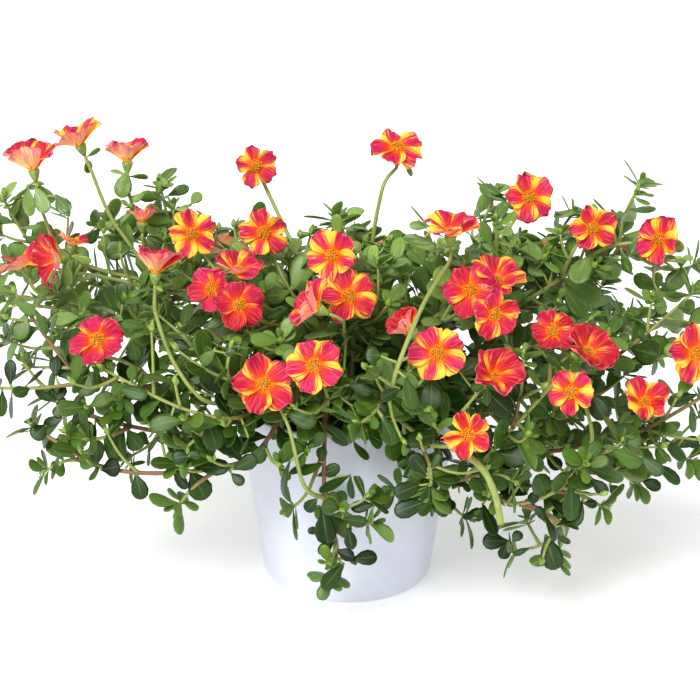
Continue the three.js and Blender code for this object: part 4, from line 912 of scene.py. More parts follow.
def leafFrom(run, i, turn, lean, length, tumble, rng, age=0.0):
    # A leaf springs from the stem's side, turned about it and leaning away; its face turns to the light.
    point, tangent = run["points"][i], tangentAt(run["points"], i)
    out = outwardAt(point, tangent)
    spring = unit(out * (np.cos(turn) + 0.45) + np.cross(tangent, out) * np.sin(turn))
    axis = unit(tangent * np.cos(lean) + spring * np.sin(lean))
    light = out * 0.8 + [0, 0, 0.45] + np.array(tumble)
    normal = unit(light - axis * light.dot(axis))
    root = point + spring * run["radius"] * 0.5
    leaf = dict(root=root, axis=axis, normal=normal, length=length, age=age, chance=rng.random())
    leaf.update(width=rng.uniform(0.56, 0.8), bend=rng.uniform(-0.2, 0.1), fold=rng.uniform(0.04, 0.18))
    return leaf


# The leaves that the solids have too: how long, and how broad for their length.
solidLeaf = dict(length=20, width=0.56)
singleForm = dict(first=54.0, spacing=140, fromTip=14, apart=1.5)
rosetteForm = dict(budLength=6.5, budGirth=1.9, apart=1.1, innerApart=0.6)
rosetteForm.update(bend=(-0.18, 0.06), fold=(0.06, 0.18), age=0.7, solidAge=0.25)

# The leaves that a rosette has besides its solid's three: how many, how long, how lifted and how broad they
# are, how far along the axis they spring, and how far round they start.
rosetteRings = dict(
    between=dict(count=(3, 4), length=(9, 15), lift=(0.05, 0.6), width=(0.5, 0.64), shift=-1.5, turn=0),
    inner=dict(count=(2, 3), length=(5, 8.5), lift=(0.7, 1.15), width=(0.38, 0.5), shift=1.5, turn=1),
)


def bladeAt(turn, angle, lift):
    # Which way a leaf points and faces when it springs from an axis, turned about it by angle and lifted from
    # its square plane.
    spoke = np.array([np.cos(angle), np.sin(angle), 0])
    blade = turn @ (spoke * np.cos(lift) + [0, 0, np.sin(lift)])
    return blade, turn @ (np.array([0, 0, 1]) * np.cos(lift) - spoke * np.sin(lift))


def rosetteLeaves(run, blades, rng):
    # Leaves round a tip: three as long and as lifted as the solid's, more between them, and small upright
    # ones round the bud, further along the tip's axis.
    points = run["points"]
    axis = unit(tangentAt(points, len(points) - 1) + [0, 0, 0.3])
    turn = turnTo(axis)
    plans, first = [], None
    for i, (length, lift) in enumerate(blades):
        plans.append(("solid", 2 * np.pi * (i + 0.5) / len(blades), length, lift, solidLeaf["width"], 0.0))
    for kind, form in rosetteRings.items():
        count = rng.integers(*form["count"], endpoint=True)
        first = rng.uniform(0, 2) if first is None else first
        for i in range(count):
            drawn = [rng.uniform(*form[part]) for part in ("length", "lift", "width")]
            plans.append((kind, first + form["turn"] + 2 * np.pi * i / count, *drawn, form["shift"]))
    leaves = []
    for kind, angle, length, lift, width, shift in plans:
        blade, normal = bladeAt(turn, angle, lift)
        root = points[-1] + axis * (shift + 0.5) + blade * 0.6
        leaf = dict(root=root, axis=blade, normal=normal, length=length, width=width, chance=rng.random())
        leaf.update(bend=rng.uniform(*rosetteForm["bend"]), fold=rng.uniform(*rosetteForm["fold"]))
        leaf.update(age=rosetteForm["solidAge" if kind == "solid" else "age"], inner=kind == "inner")
        leaves.append(leaf)
    return leaves, axis


def grownLeaves(run, index, rng):
    # The leaves that a run's solid has too, by the same draws: a rosette with its buds at a leafy tip, and
    # single leaves along the run. A run that was cut has none.
    points, draw = run["points"], run["draw"]
    leaves, buds = [], []
    if run["cut"]:
        return leaves, buds
    if not bearsBloom(run):
        blades = [(solidLeaf["length"] * (0.65 + 0.3 * draw()), 0.25 + 0.5 * draw()) for _ in range(3)]
        tip, axis = rosetteLeaves(run, blades, rng)
        for leaf in tip:
            apart = rosetteForm["innerApart" if leaf["inner"] else "apart"]
            if settle(leaf, index, outlined=run["rank"] > 1, apart=apart):
                leaves.append(leaf)
        count = rng.integers(1, 3)
        for i in range(count):
            tilt = unit(axis + rng.normal(0, 0.28, 3) * (i > 0) + rng.normal(0, 0.08, 3))
            length = rosetteForm["budLength"] * rng.uniform(0.8, 1.15) * (0.8 if i else 1)
            girth = rosetteForm["budGirth"] * rng.uniform(0.75, 1.05) * (0.8 if i else 1)
            root, chance = points[-1] + tilt * 0.6, rng.random()
            buds.append(dict(root=root, axis=tilt, length=length, girth=girth, chance=chance))
    turn = draw() * 2 * np.pi
    along = singleForm["first"]
    while along < lengthOf(run) - singleForm["fromTip"]:
        turn += goldenTurn
        length = solidLeaf["length"] * (0.75 + 0.5 * draw())
        lean = 0.95 + 0.5 * draw()
        tumble = [0.9 * (draw() - 0.5) for _ in range(3)]
        leaf = leafFrom(run, max(run["held"], sampleAt(along)), turn, lean, length, tumble, rng)
        leaf["width"] = solidLeaf["width"]
        if settle(leaf, index, apart=singleForm["apart"]):
            leaves.append(leaf)
        along += singleForm["spacing"] * (0.75 + 0.5 * draw())
    return leaves, buds


pairForm = dict(length=22.0, spacing=(8.0, 11.5), fromStart=9, fromTip=7, lean=(0.75, 1.4), tumble=0.8)
pairForm.update(turn=0.75, uneven=0.3, youngOver=60, shrink=0.72)


def pairsAlong(run, index, rng):
    # Pairs of leaves at nearly even joints, on opposite sides and smaller towards the tip; a flower's stalk
    # is bare near its top, and a leaf that finds no room is tried once more at a smaller size.
    leaves = []
    if run["cut"]:
        return leaves
    whole = lengthOf(run)
    first = (run["held"] + 1) * growth["step"] if run["main"] is None else pairForm["fromStart"]
    bare = bareLength(run, whole) if bearsBloom(run) else pairForm["fromTip"]
    along = first + rng.uniform(0, 6)
    while along < whole - bare:
        turn = np.pi / 2 + rng.uniform(-pairForm["turn"], pairForm["turn"])
        left = (whole - along) / pairForm["youngOver"]
        size = min(1.0, 0.55 + 0.5 * left) * rng.uniform(0.8, 1.25)
        age = max(0.0, 0.4 - 0.4 * left)
        for half in range(2):
            tumble = rng.uniform(-pairForm["tumble"], pairForm["tumble"], 3)
            spin = turn + half * np.pi + rng.uniform(-pairForm["uneven"], pairForm["uneven"])
            length = pairForm["length"] * size * rng.uniform(0.82, 1.14)
            lean = rng.uniform(*pairForm["lean"])
            leaf = leafFrom(run, sampleAt(along), spin, lean, length, tumble, rng, age)
            for _ in range(2):
                if settle(leaf, index):
                    leaves.append(leaf)
                    break
                leaf["length"] *= pairForm["shrink"]
        along += rng.uniform(*pairForm["spacing"])
    return leaves


whorlForm = dict(lift=(-1.15, 0.3), roll=(-0.8, 0.8), behind=(6.5, 8.5), length=(0.6, 0.95), width=(0.5, 0.68))
whorlForm.update(bend=(-0.15, 0.1), fold=(0.06, 0.18), age=0.2, apart=1.0)
whorlForm.update(budLength=(4.5, 7), budGirth=(1.3, 1.9))


def whorlOf(number, index, rng):
    # A ring of leaves under a bloom, springing from its stalk and lying back from the petals.
    heart, axis, _ = hearts[number]
    turn, form = turnTo(axis), whorlForm
    leaves, buds = [], []
    count = rng.integers(4, 6)
    first = rng.uniform(0, 2 * np.pi)
    for i in range(count):
        angle = first + 2 * np.pi * i / count + rng.uniform(-0.2, 0.2)
        lift, roll = rng.uniform(*form["lift"]), rng.uniform(*form["roll"])
        blade, normal = bladeAt(turn, angle, lift)
        normal = normal * np.cos(roll) + np.cross(blade, normal) * np.sin(roll)
        root = heart - axis * rng.uniform(*form["behind"]) + blade * 0.8
        length = blooms[number]["petal"] * rng.uniform(*form["length"])
        leaf = dict(root=root, axis=blade, normal=normal, length=length, age=form["age"])
        leaf.update({part: rng.uniform(*form[part]) for part in ("width", "bend", "fold")}, chance=rng.random())
        if settle(leaf, index, outlined=False, apart=form["apart"]):
            leaves.append(leaf)
    for i in range(rng.integers(0, 3)):
        angle = first + rng.uniform(0, 2 * np.pi)
        spoke = turn @ np.array([np.cos(angle), np.sin(angle), rng.uniform(-0.5, 0.3)])
        bud = dict(root=heart - axis * form["behind"][0] + spoke, axis=unit(spoke), chance=0.3)
        bud.update(length=rng.uniform(*form["budLength"]), girth=rng.uniform(*form["budGirth"]))
        buds.append(bud)
    return leaves, buds


twigForm = dict(spacing=17.0, length=(14, 40), apart=5.5, tries=4, fromStart=12, fromTip=12)


def twigsOf(run, index, rng):
    # Short leafy side shoots, grown from a run into the room round it: each leans out, bends upwards and is
    # kept if its whole length is clear of what stands already.
    points, twigs = run["points"], []
    if run["cut"] or run["rank"] > 1:
        return twigs
    whole = lengthOf(run)
    first = run["held"] * growth["step"] + 6 if run["main"] is None else twigForm["fromStart"]
    last = whole - (bareLength(run, whole) if bearsBloom(run) else twigForm["fromTip"])
    along = first + rng.uniform(0, 10)
    while along < last:
        i = sampleAt(along)
        start, tangent = points[i], tangentAt(points, i)
        out = outwardAt(start, tangent)
        for _ in range(twigForm["tries"]):
            spin = rng.uniform(0, 2 * np.pi)
            spring = unit(out * (np.cos(spin) + 0.3) + np.cross(tangent, out) * np.sin(spin))
            length = rng.uniform(*twigForm["length"])
            heading = unit(spring * 0.8 + tangent * rng.uniform(0.2, 0.9))
            middle = start + heading * length * 0.5
            end = middle + unit(heading + [0, 0, rng.uniform(0, 0.8)] + out * 0.3) * length * 0.5
            path = smoothRun([start, middle, end])
            free = path[2:]
            if not (clearOfPot(free) and clearOfBlooms(free) and inOutline(path[-1:])):
                continue
            if not clearOfTubes(free, -1, twigForm["apart"]):
                continue
            twigs.append(sideRun(run, i, path, growth["twigRadius"], 2))
            break
        along += twigForm["spacing"] * rng.uniform(0.7, 1.3)
    return twigs


shownForm = dict(reach=17, forward=0.12, petiole=0.8, lifts=(1.5, 4.5, 8.0, 12.0), narrow=0.46, pale=0.55)
shownForm.update(aboveGround=20, sag=0.5, into=0.8, apart=0.7, beside=1.3)
nowhere = 1e9


def shownLeaf(row, rng):
    # A large leaf from its root and tip on the sheet, with the number of the run that bears it and the path
    # of its own thin stalk from there. The run is the one that passes nearest to the leaf's root and well to
    # the front; the leaf faces the eye, turned about its length if it looks narrow.
    rootAcross, rootUp, tipAcross, tipUp, broad = row
    across, up, inward = onSheet(tubeMarks)
    off = np.hypot(across - rootAcross, up - rootUp)
    bearing = np.array([not run["cut"] for run in runs])[tubeOwner]
    bearing &= (tubeMarks[:, 2] > shownForm["aboveGround"]) & (off < shownForm["reach"])
    cost = np.where(bearing, off + shownForm["forward"] * inward, nowhere)
    best = int(cost.argmin())
    if cost[best] == nowhere:
        return None
    own = int(tubeOwner[best])
    rise, slide = tipUp - rootUp, tipAcross - rootAcross
    long = np.hypot(rise, slide)
    width = max(broad / long, shownForm["narrow"] + rng.uniform(0, 0.08))
    roll = np.arccos(min(1.0, broad / long / width)) * rng.choice([-1, 1])
    for lift in shownForm["lifts"]:
        depth = inward[best] - lift
        root = atDepth(rootAcross, rootUp, depth)
        axis = unit(atDepth(tipAcross, tipUp, depth - long * rng.uniform(-0.15, 0.3)) - root)
        light = unit(sheetUp * rng.uniform(0, 0.35) - sheetIn + np.array([rng.uniform(-0.25, 0.25), 0, 0]))
        normal = unit(light - axis * light.dot(axis))
        normal = normal * np.cos(roll) + np.cross(axis, normal) * np.sin(roll)
        length = long * (1 + depth / eyeDistance)
        chance = shownForm["pale"] * rng.random()
        leaf = dict(root=root, axis=axis, normal=normal, length=length, width=width, chance=chance, age=0.0)
        leaf.update(bend=rng.uniform(-0.12, 0.06), fold=rng.uniform(0.03, 0.12))
        if settle(leaf, own, outlined=False, apart=shownForm["apart"], beside=shownForm["beside"]):
            middle = (tubeMarks[best] + root) / 2 - [0, 0, shownForm["sag"]]
            return leaf, own, smoothRun([tubeMarks[best], middle, root + axis * shownForm["into"]])
    return None


# How far up it is brown: a stem or shoot with a bloom, one with a leafy tip, and a twig or leaf stalk.
oldness = dict(bloom=(0.4, 0.15), tip=(1.0, 0.55), twig=0.12)


def noteRun(run, index):
    # A run's chance and how brown it is: trailing stems most; flower stalks and the cut one, like twigs, least.
    run["chance"] = drawsOf("note", index).random()
    kind = "bloom" if bearsBloom(run) or run["cut"] else "tip"
    run["old"] = oldness[kind][run["rank"]] if run["rank"] < 2 else oldness["twig"]


def keep(run, leaves, buds):
    # Adds leaves and buds to those of the stem that the run is part of.
    foliage[run["node"]]["leaves"] += leaves
    foliage[run["node"]]["buds"] += buds


# First the rings under the blooms, then what the solids have, the large leaves that show, the twigs with
# their own leaves, and last pairs of leaves wherever there is room.
draws = [drawFrom(seeds["solid"] + node) for node in range(len(stems))]
foliage = [dict(leaves=[], buds=[]) for _ in stems]
for index, run in enumerate(runs):
    noteRun(run, index)
    run["draw"] = draws[run["node"]]
    if bearsBloom(run):
        keep(run, *whorlOf(run["end"], index, drawsOf("whorl", run["end"])))
for index, run in enumerate(runs):
    keep(run, *grownLeaves(run, index, drawsOf("grown", index)))
shown, stalks = [], []
for number, row in enumerate(shownLeaves):
    found = shownLeaf(row, drawsOf("shown", number))
    if found:
        leaf, own, path = found
        stalk = sideRun(runs[own], 0, path, shownForm["petiole"], 2)
        noteRun(stalk, seeds["stalkNote"] + number)
        keep(stalk, [leaf], [])
        shown.append(leaf)
        stalks.append(stalk)
settled["shown"] = np.stack(onSheet(np.concatenate([samplesOf(leaf) for leaf in shown])))
print("large leaves:", len(shown), "of", len(shownLeaves))
for index, run in enumerate(list(runs)):
    for twig in twigsOf(run, index, drawsOf("twigs", index)):
        own = len(runs)
        tubeMarks = np.concatenate([tubeMarks, twig["points"]])
        tubeOwner = np.concatenate([tubeOwner, np.full(len(twig["points"]), own)])
        twig["draw"] = drawFrom(seeds["twigSolid"] + own)
        noteRun(twig, own)
        runs.append(twig)
        keep(twig, *grownLeaves(twig, own, drawsOf("grown", own)))
for index, run in enumerate(runs):
    keep(run, pairsAlong(run, index, drawsOf("pairs", index)), [])
runs += stalks
print("leaves settled:", settled["count"], "on", len(runs), "runs")


petalForm = dict(
    rows=(0.06, 0.16, 0.28, 0.41, 0.54, 0.66, 0.77, 0.86, 0.94, 1.0),
    halfWidth=(0.12, 0.2, 0.3, 0.39, 0.455, 0.49, 0.5, 0.485, 0.45, 0.39),
    petals=5,
    around=22,
    thickness=0.5,
    twist=np.radians(13),
    hollow=0.1,
    arch=0.1,
    wave=0.14,
    ruffle=0.045,
    roll=(-0.22, 0.1),
    curl=(-0.2, 0.08),
    notch=0.075,
    notchWidth=0.3,
    round=0.24,
    rim=0.034,
    turn=0.1,
    openest=18,
    fuller=0.7,
    fan=0.34,
    waist=0.26,
)

# Blooms whose petals show apart, with how broad they are, and blooms that are cups, with how many degrees
# more their petals are raised.
lobed = {8: 0.9, 9: 0.92, 10: 0.9, 14: 0.95, 27: 0.92, 33: 0.94}
cupped = {1: 20, 2: 8, 3: 8, 4: 8, 5: 0, 6: 4, 12: 4, 16: 8, 20: 2, 21: 0, 24: 6, 26: 0, 32: 0}
heartForm = dict(
    around=16,
    beyond=0.1,
    dome=((2.2, -0.6), (2.7, 0.8), (3.0, 1.8), (2.1, 2.7), (0.9, 3.0)),
    foot=((1.25, -5.9), (1.6, -5.0), (2.4, -3.5), (3.2, -1.3), (3.5, 0.6)),
)
stamenForm = dict(count=56, around=4, rows=((0.0, 0.24), (0.6, 0.2), (0.72, 0.4), (0.92, 0.42)))
stamenForm.update(length=(1.7, 2.7), lean=(0.1, 0.8), uneven=0.12, disc=2.5, height=2.7, drop=1.1)


def turned(x, y, angle):
    # Two coordinates turned by an angle about the third.
    return x * np.cos(angle) - y * np.sin(angle), x * np.sin(angle) + y * np.cos(angle)


def lathePart(profile, around, finish, turn=np.eye(3), centre=np.zeros(3), beyond=0.0, lift=None):
    # A closed skin turned about +Z from (radius, height) rows, whose end points stand a little beyond the end
    # rows, then turned to an axis and moved to a centre; lift, if given, raises the points of the rows first.
    angle = 2 * np.pi * np.arange(around) / around
    radius, height = np.array(profile).T[:, :, None]
    rings = np.zeros((1, len(radius), around, 3))
    rings[0, ..., 0], rings[0, ..., 1] = radius * np.cos(angle), radius * np.sin(angle)
    rings[0, ..., 2] = height
    if lift:
        rings[0, ..., 2] += lift(rings[0, ..., 0], rings[0, ..., 1], radius)
    ends = [np.array([[0, 0, rings[0, row, :, 2].mean() + past]]) for row, past in ((0, -beyond), (-1, beyond))]
    blade = np.zeros_like(rings)
    blade[..., 0] = np.linspace(0, 1, len(radius))[:, None]
    return skin(*[points @ turn.T + centre for points in (rings, *ends)], blade, (0, 0, 0), finish)


def petalPart(number, finish):
    # Five petals, each a thin closed sheet. Rows run along the petal; across a row the ring runs as a flat
    # ellipse. The outer rows bow round the end with a notch in the middle; the sheet is hollow along its
    # middle, arched along its length, rolled at its sides and waved more and more towards its end. It is then
    # twisted about its length so that one side lies over the next petal, raised, and turned about the bloom's
    # axis. Petals that show apart narrow to a waist, and the petals of a cup are fuller and fan out.
    form, bloom = petalForm, blooms[number]
    draw, rng = drawFrom(seeds["petalSolid"] + 31 * number), drawsOf("petal", number)
    angle = 2 * np.pi * np.arange(form["around"]) / form["around"]
    across = np.sign(np.cos(angle)) * np.abs(np.cos(angle)) ** 0.9
    over = np.sign(np.sin(angle)) * np.abs(np.sin(angle)) ** 0.35
    rows, half = np.array(form["rows"])[:, None], np.array(form["halfWidth"])[:, None]
    cup = 1.0 if number in cupped else 0.0
    rings, starts, ends, marks = [], [], [], []
    for index in range(form["petals"]):
        lift = np.radians(bloom["raised"] + cupped.get(number, 0) + 8 * (draw() - 0.5))
        size = bloom["petal"] * (0.94 + 0.12 * draw()) * (1.14 if number in cupped else 1.06)
        narrow = min(1.0, np.cos(lift) / np.cos(np.radians(form["openest"])))
        narrow *= lobed[number] * rng.uniform(0.93, 1.07) if number in lobed else rng.uniform(0.88, 1.06)
        narrow += form["fuller"] * cup * (1 - narrow)
        phase = rng.uniform(0, 2 * np.pi, 3)
        notch = form["notch"] * rng.uniform(0.4, 1.8)
        shift = rng.uniform(-0.15, 0.15)
        bow = form["round"] * (1 - 0.5 * cup)
        end = 1 - bow * np.abs(across) ** 2.6 - notch * np.exp(-(((across - shift) / form["notchWidth"]) ** 2))
        end = end + form["rim"] * (np.sin(6 * across + phase[0]) + 0.6 * np.sin(13 * across + phase[2]))
        x = rows * (1 - rows**2 + rows**2 * end)
        y = half * across * narrow * (1 + form["fan"] * cup * rows**3)
        if number in lobed:
            y = y * (1 - form["waist"] * (1 - rows))
        z = form["arch"] * np.sin(np.pi * rows) - form["hollow"] * np.sin(np.pi * rows) * (1 - across**2)
        z = z + form["wave"] * (1 - 0.3 * cup) * rows**2 * np.sin(2.6 * across + phase[1])
        z = z + rng.uniform(*form["curl"]) * rows**3
        z = z + rng.uniform(*form["roll"]) * rows * across**2
        z = z + form["ruffle"] * rows**6 * np.sin(7 * across + phase[2])
        x, y, z = x * size, y * size, z * size + form["thickness"] / 2 * over * (1 - 0.6 * rows)
        y, z = turned(y, z, form["twist"])
        x, z = turned(x, z, lift)
        spin = 2 * np.pi * (index + 0.5) / form["petals"] + rng.uniform(-form["turn"], form["turn"])
        x, y = turned(x, y, spin)
        ring = np.stack([x, y, z], axis=2)
        rings.append(ring)
        starts.append(ring[0].mean(axis=0))
        ends.append(ring[-1][[form["around"] // 4, 3 * form["around"] // 4]].mean(axis=0))
        hue, wedge, run = bloom["tone"]
        hue, wedge = hue + rng.uniform(-0.2, 0.15), wedge + rng.uniform(-0.25, 0.2)
        marks.append([hue, wedge, run * rng.uniform(0.8, 1.2)])
    blade = np.zeros((form["petals"], len(rows), form["around"], 3))
    blade[..., 0], blade[..., 1], blade[..., 2] = rows, across, over
    heart, axis, _ = hearts[number]
    turn = turnTo(axis)
    rings, starts, ends = (np.array(points) @ turn.T + heart for points in (rings, starts, ends))
    return skin(rings, starts, ends, blade, np.array(marks), finish)


def stamenPart(number, finish):
    # Threads that spread from the middle of the heart, leaning more towards its rim, each with a fat end.
    rng, form = drawsOf("stamens", number), stamenForm
    count = form["count"]
    angle = goldenTurn * np.arange(count) + rng.uniform(-0.3, 0.3, count)
    share = np.sqrt((np.arange(count) + 0.5) / count)
    lean = form["lean"][0] + form["lean"][1] * share + rng.uniform(-form["uneven"], form["uneven"], count)
    length = rng.uniform(*form["length"], count)
    spoke = np.stack([np.cos(angle), np.sin(angle), angle * 0], axis=1)
    axis = spoke * np.sin(lean)[:, None] + np.array([0, 0, 1]) * np.cos(lean)[:, None]
    root = spoke * (form["disc"] * share)[:, None]
    root = root + np.outer(form["height"] - form["drop"] * share**2, [0, 0, 1])
    side = unit(np.cross(axis, [0.2, 0.3, 0.93]))
    up = np.cross(axis, side)
    around = 2 * np.pi * np.arange(form["around"]) / form["around"]
    along, radius = np.array(form["rows"]).T[:, :, None]
    steps = [(axis, along * length[:, None, None])]
    steps += [(side, radius * np.cos(around)), (up, radius * np.sin(around))]
    heart, bloomAxis, _ = hearts[number]
    blade = np.zeros((count, len(along), form["around"], 3))
    blade[..., 0] = along
    placed = (ringsAt(root, *steps), root, root + axis * length[:, None])
    placed = [points @ turnTo(bloomAxis).T + heart for points in placed]
    return skin(*placed, blade, (0, 0, 0), finish)


def latticeNoise(x, y, cell, seed, size=64):
    # Random heights on a square lattice, smoothly blended between its corners.
    heights = np.random.default_rng(seed).random((size, size))
    i, j = np.floor(x / cell).astype(int), np.floor(y / cell).astype(int)
    u, v = x / cell - i, y / cell - j
    u, v = u * u * (3 - 2 * u), v * v * (3 - 2 * v)
    near, far = ([heights[(i + a) % size, (j + b) % size] for b in (0, 1)] for a in (0, 1))
    return (near[0] * (1 - v) + near[1] * v) * (1 - u) + (far[0] * (1 - v) + far[1] * v) * u


def potProfile():
    # Out along the foot, round its edge by a quarter turn, up the wall, over the round rim, down the inside.
    wall, corner, height, floor = (potForm[part] for part in ("wall", "corner", "height", "floor"))
    rows = [(radius, 0.0) for radius in (1.0, 20.0, 36.0)]
    for turn in np.linspace(0, np.pi / 2, 9):
        rows.append((potRadius(corner) - corner + corner * np.sin(turn), corner - corner * np.cos(turn)))
    rows += [(potRadius(z), z) for z in (12, 30, 50, 70, 90, 104)]
    rim = potForm["rimRadius"] - wall / 2
    for turn in np.linspace(0, np.pi, 9):
        rows.append((rim + wall / 2 * np.cos(turn), height - wall / 2 + wall / 2 * np.sin(turn)))
    rows += [(potRadius(z) - wall, z) for z in (100, 80, 60, 40, 20, 11)]
    inner = potRadius(floor) - wall
    rows += [(inner - 1.5, 6.0), (inner - 5.0, floor), (24.0, floor), (1.0, floor)]
    return rows


def soilProfile():
    # Under the lump from the middle out, up beside the wall, and back in over its top.
    bottom, top = potForm["floor"] + soilForm["clear"], soilForm["top"]
    inset = potForm["wall"] + soilForm["clear"]
    foot = potRadius(potForm["floor"]) - inset
    rows = [(1.0, bottom), (24.0, bottom), (foot - 6.0, bottom), (foot - 0.4, bottom + 6)]
    rows += [(potRadius(z) - inset, z) for z in (25, 45, 65, 85, 97)]
    edge = potRadius(top) - inset
    rows += [(radius, top) for radius in np.linspace(edge - 0.8, 0.6, 58)]
    return rows


def crumbs(x, y, radius):
    # Crumbs of two sizes on the soil's top, less towards the wall, and a dip round the foot of each stem. The
    # first nine rows are the lump's underside and its side.
    top = np.clip((potRadius(soilForm["top"]) - 3 - radius) / 3, 0, 1)
    under = np.arange(len(radius))[:, None] < 9
    height = soilForm["crumb"] * (latticeNoise(x, y, 4.1, 5) - 0.5)
    height = height + soilForm["grain"] * (latticeNoise(x, y, 1.7, 6) - 0.5)
    for plan in stems:
        off = np.hypot(x - plan["hole"][0], y - plan["hole"][1])
        height = height - soilForm["dip"] * np.exp(-((off / soilForm["dipRadius"]) ** 4))
    return np.where(under, 0, height * top)


def colour(red, green, blue):
    # A screen colour from 0 to 255 as the linear values that shaders take.
    value = np.array([red, green, blue]) / 255
    linear = np.where(value <= 0.04045, value / 12.92, ((value + 0.055) / 1.055) ** 2.4)
    return (*[float(part) for part in linear], 1.0)


class Nodes:
    # Short ways to add nodes to a tree, each giving the new node or its output. A colour is given by another
    # node's output or as three screen values.
    def __init__(self, tree):
        self.tree = tree

    def add(self, kind, sockets=None, **facts):
        # A new node with its facts set and its sockets fed by values or by other nodes' outputs.
        node = self.tree.nodes.new("ShaderNode" + kind)
        for fact, value in facts.items():
            setattr(node, fact, value)
        for name, value in (sockets or {}).items():
            self.feed(node.inputs[name], value)
        return node

    def feed(self, socket, value):
        if isinstance(value, bpy.types.NodeSocket):
            self.tree.links.new(value, socket)
        else:
            socket.default_value = value

    def calc(self, operation, *values):
        return self.add("Math", dict(enumerate(values)), operation=operation).outputs[0]

    def plus(self, one, two):
        return self.calc("ADD", one, two)

    def minus(self, one, two):
        return self.calc("SUBTRACT", one, two)

    def times(self, one, two):
        return self.calc("MULTIPLY", one, two)

    def swing(self, value, pace, middle, width):
        # The middle plus the width times the sine of pace times the value.
        return self.plus(middle, self.times(self.calc("SINE", self.times(value, pace)), width))

    def fade(self, value, zero, one):
        # Smoothly from 0 where the value is zero's to 1 where it is one's, whichever of them is larger.
        sockets = {"Value": value, "From Min": zero, "From Max": one}
        return self.add("MapRange", sockets, interpolation_type="SMOOTHSTEP").outputs["Result"]

    def blend(self, share, first, second):
        # From the first colour to the second by share.
        first, second = (colour(*value) if isinstance(value, tuple) else value for value in (first, second))
        return self.add("Mix", {0: share, 6: first, 7: second}, data_type="RGBA").outputs[2]

    def cover(self, under, over, share, strength=None):
        # One colour over another by a share, or by that much of the share.
        return self.blend(share if strength is None else self.times(share, strength), under, over)

    def grain(self, place, scale, detail):
        # Noise over a place.
        return self.add("TexNoise", {"Vector": place, "Scale": scale, "Detail": detail}).outputs["Fac"]

    def noise(self, parts, scale, detail=2.0):
        # Noise over a place made of three values.
        return self.grain(self.add("CombineXYZ", dict(enumerate(parts))).outputs[0], scale, detail)

    def bump(self, shader, height, strength, distance):
        # Relief on a shader by a height.
        sockets = {"Height": height, "Strength": strength, "Distance": distance}
        self.feed(shader["Normal"], self.add("Bump", sockets).outputs[0])


class Pattern(Nodes):
    # A node group with named inputs, all of one kind, and outputs given as name=kind.
    def __init__(self, name, inputs, kind="Float", **outputs):
        super().__init__(bpy.data.node_groups.new(name, "ShaderNodeTree"))
        sockets = [("INPUT", label, kind) for label in inputs]
        sockets += [("OUTPUT", label, made) for label, made in outputs.items()]
        for way, label, sort in sockets:
            self.tree.interface.new_socket(label, in_out=way, socket_type="NodeSocket" + sort)
        self.given = self.tree.nodes.new("NodeGroupInput").outputs[: len(inputs)]
        self.ends = self.tree.nodes.new("NodeGroupOutput").inputs

    def give(self, **made):
        for label, value in made.items():
            self.feed(self.ends[label], value)
        return self.tree


def leafPattern():
    # Green by chance, faintly mottled and with patches of painted sheen, darkened by painted shade deep in the
    # plant and yellower when young, paler along the midrib and the rim, greyer underneath.
    labels = ("Along", "Across", "Face", "Chance", "Youth", "Depth")
    make = Pattern("Leaf pattern", labels, Color="Color", Height="Float")
    along, across, face, chance, youth, depth = make.given
    side = make.calc("ABSOLUTE", across)
    mottle = make.noise((make.times(along, 2.0), across, make.times(chance, 40.0)), 3.0)
    paintedSheen = make.noise((make.times(along, 1.2), across, make.times(chance, 70.0)), 1.6, 3.0)
    green = make.blend(chance, (30, 66, 6), (172, 204, 100))
    green = make.cover(green, (86, 132, 42), make.fade(mottle, 0.3, 0.75), 0.6)
    # Painted sheen: pale grey-green patches that stand for the sky's reflection on the leaves.
    green = make.cover(green, (158, 186, 140), make.fade(paintedSheen, 0.5, 0.72), 0.6)
    # Painted shade: leaves deep in the plant darken towards a near-black green.
    green = make.cover(green, make.blend(chance, (0, 24, 0), (38, 88, 4)), depth)
    green = make.cover(green, (106, 138, 42), youth, 0.7)
    rib = make.times(make.fade(side, 0.13, 0.02), make.minus(0.42, make.times(along, 0.36)))
    green = make.cover(green, (132, 158, 66), rib)
    green = make.cover(green, (104, 138, 62), make.fade(face, 0.1, -0.3), 0.6)
    green = make.cover(green, (150, 174, 88), make.fade(side, 0.93, 1.0), 0.6)
    veins = make.noise((make.times(along, 5.0), make.times(side, 2.0), chance), 3.0)
    return make.give(Color=green, Height=make.minus(make.times(veins, 0.4), rib))


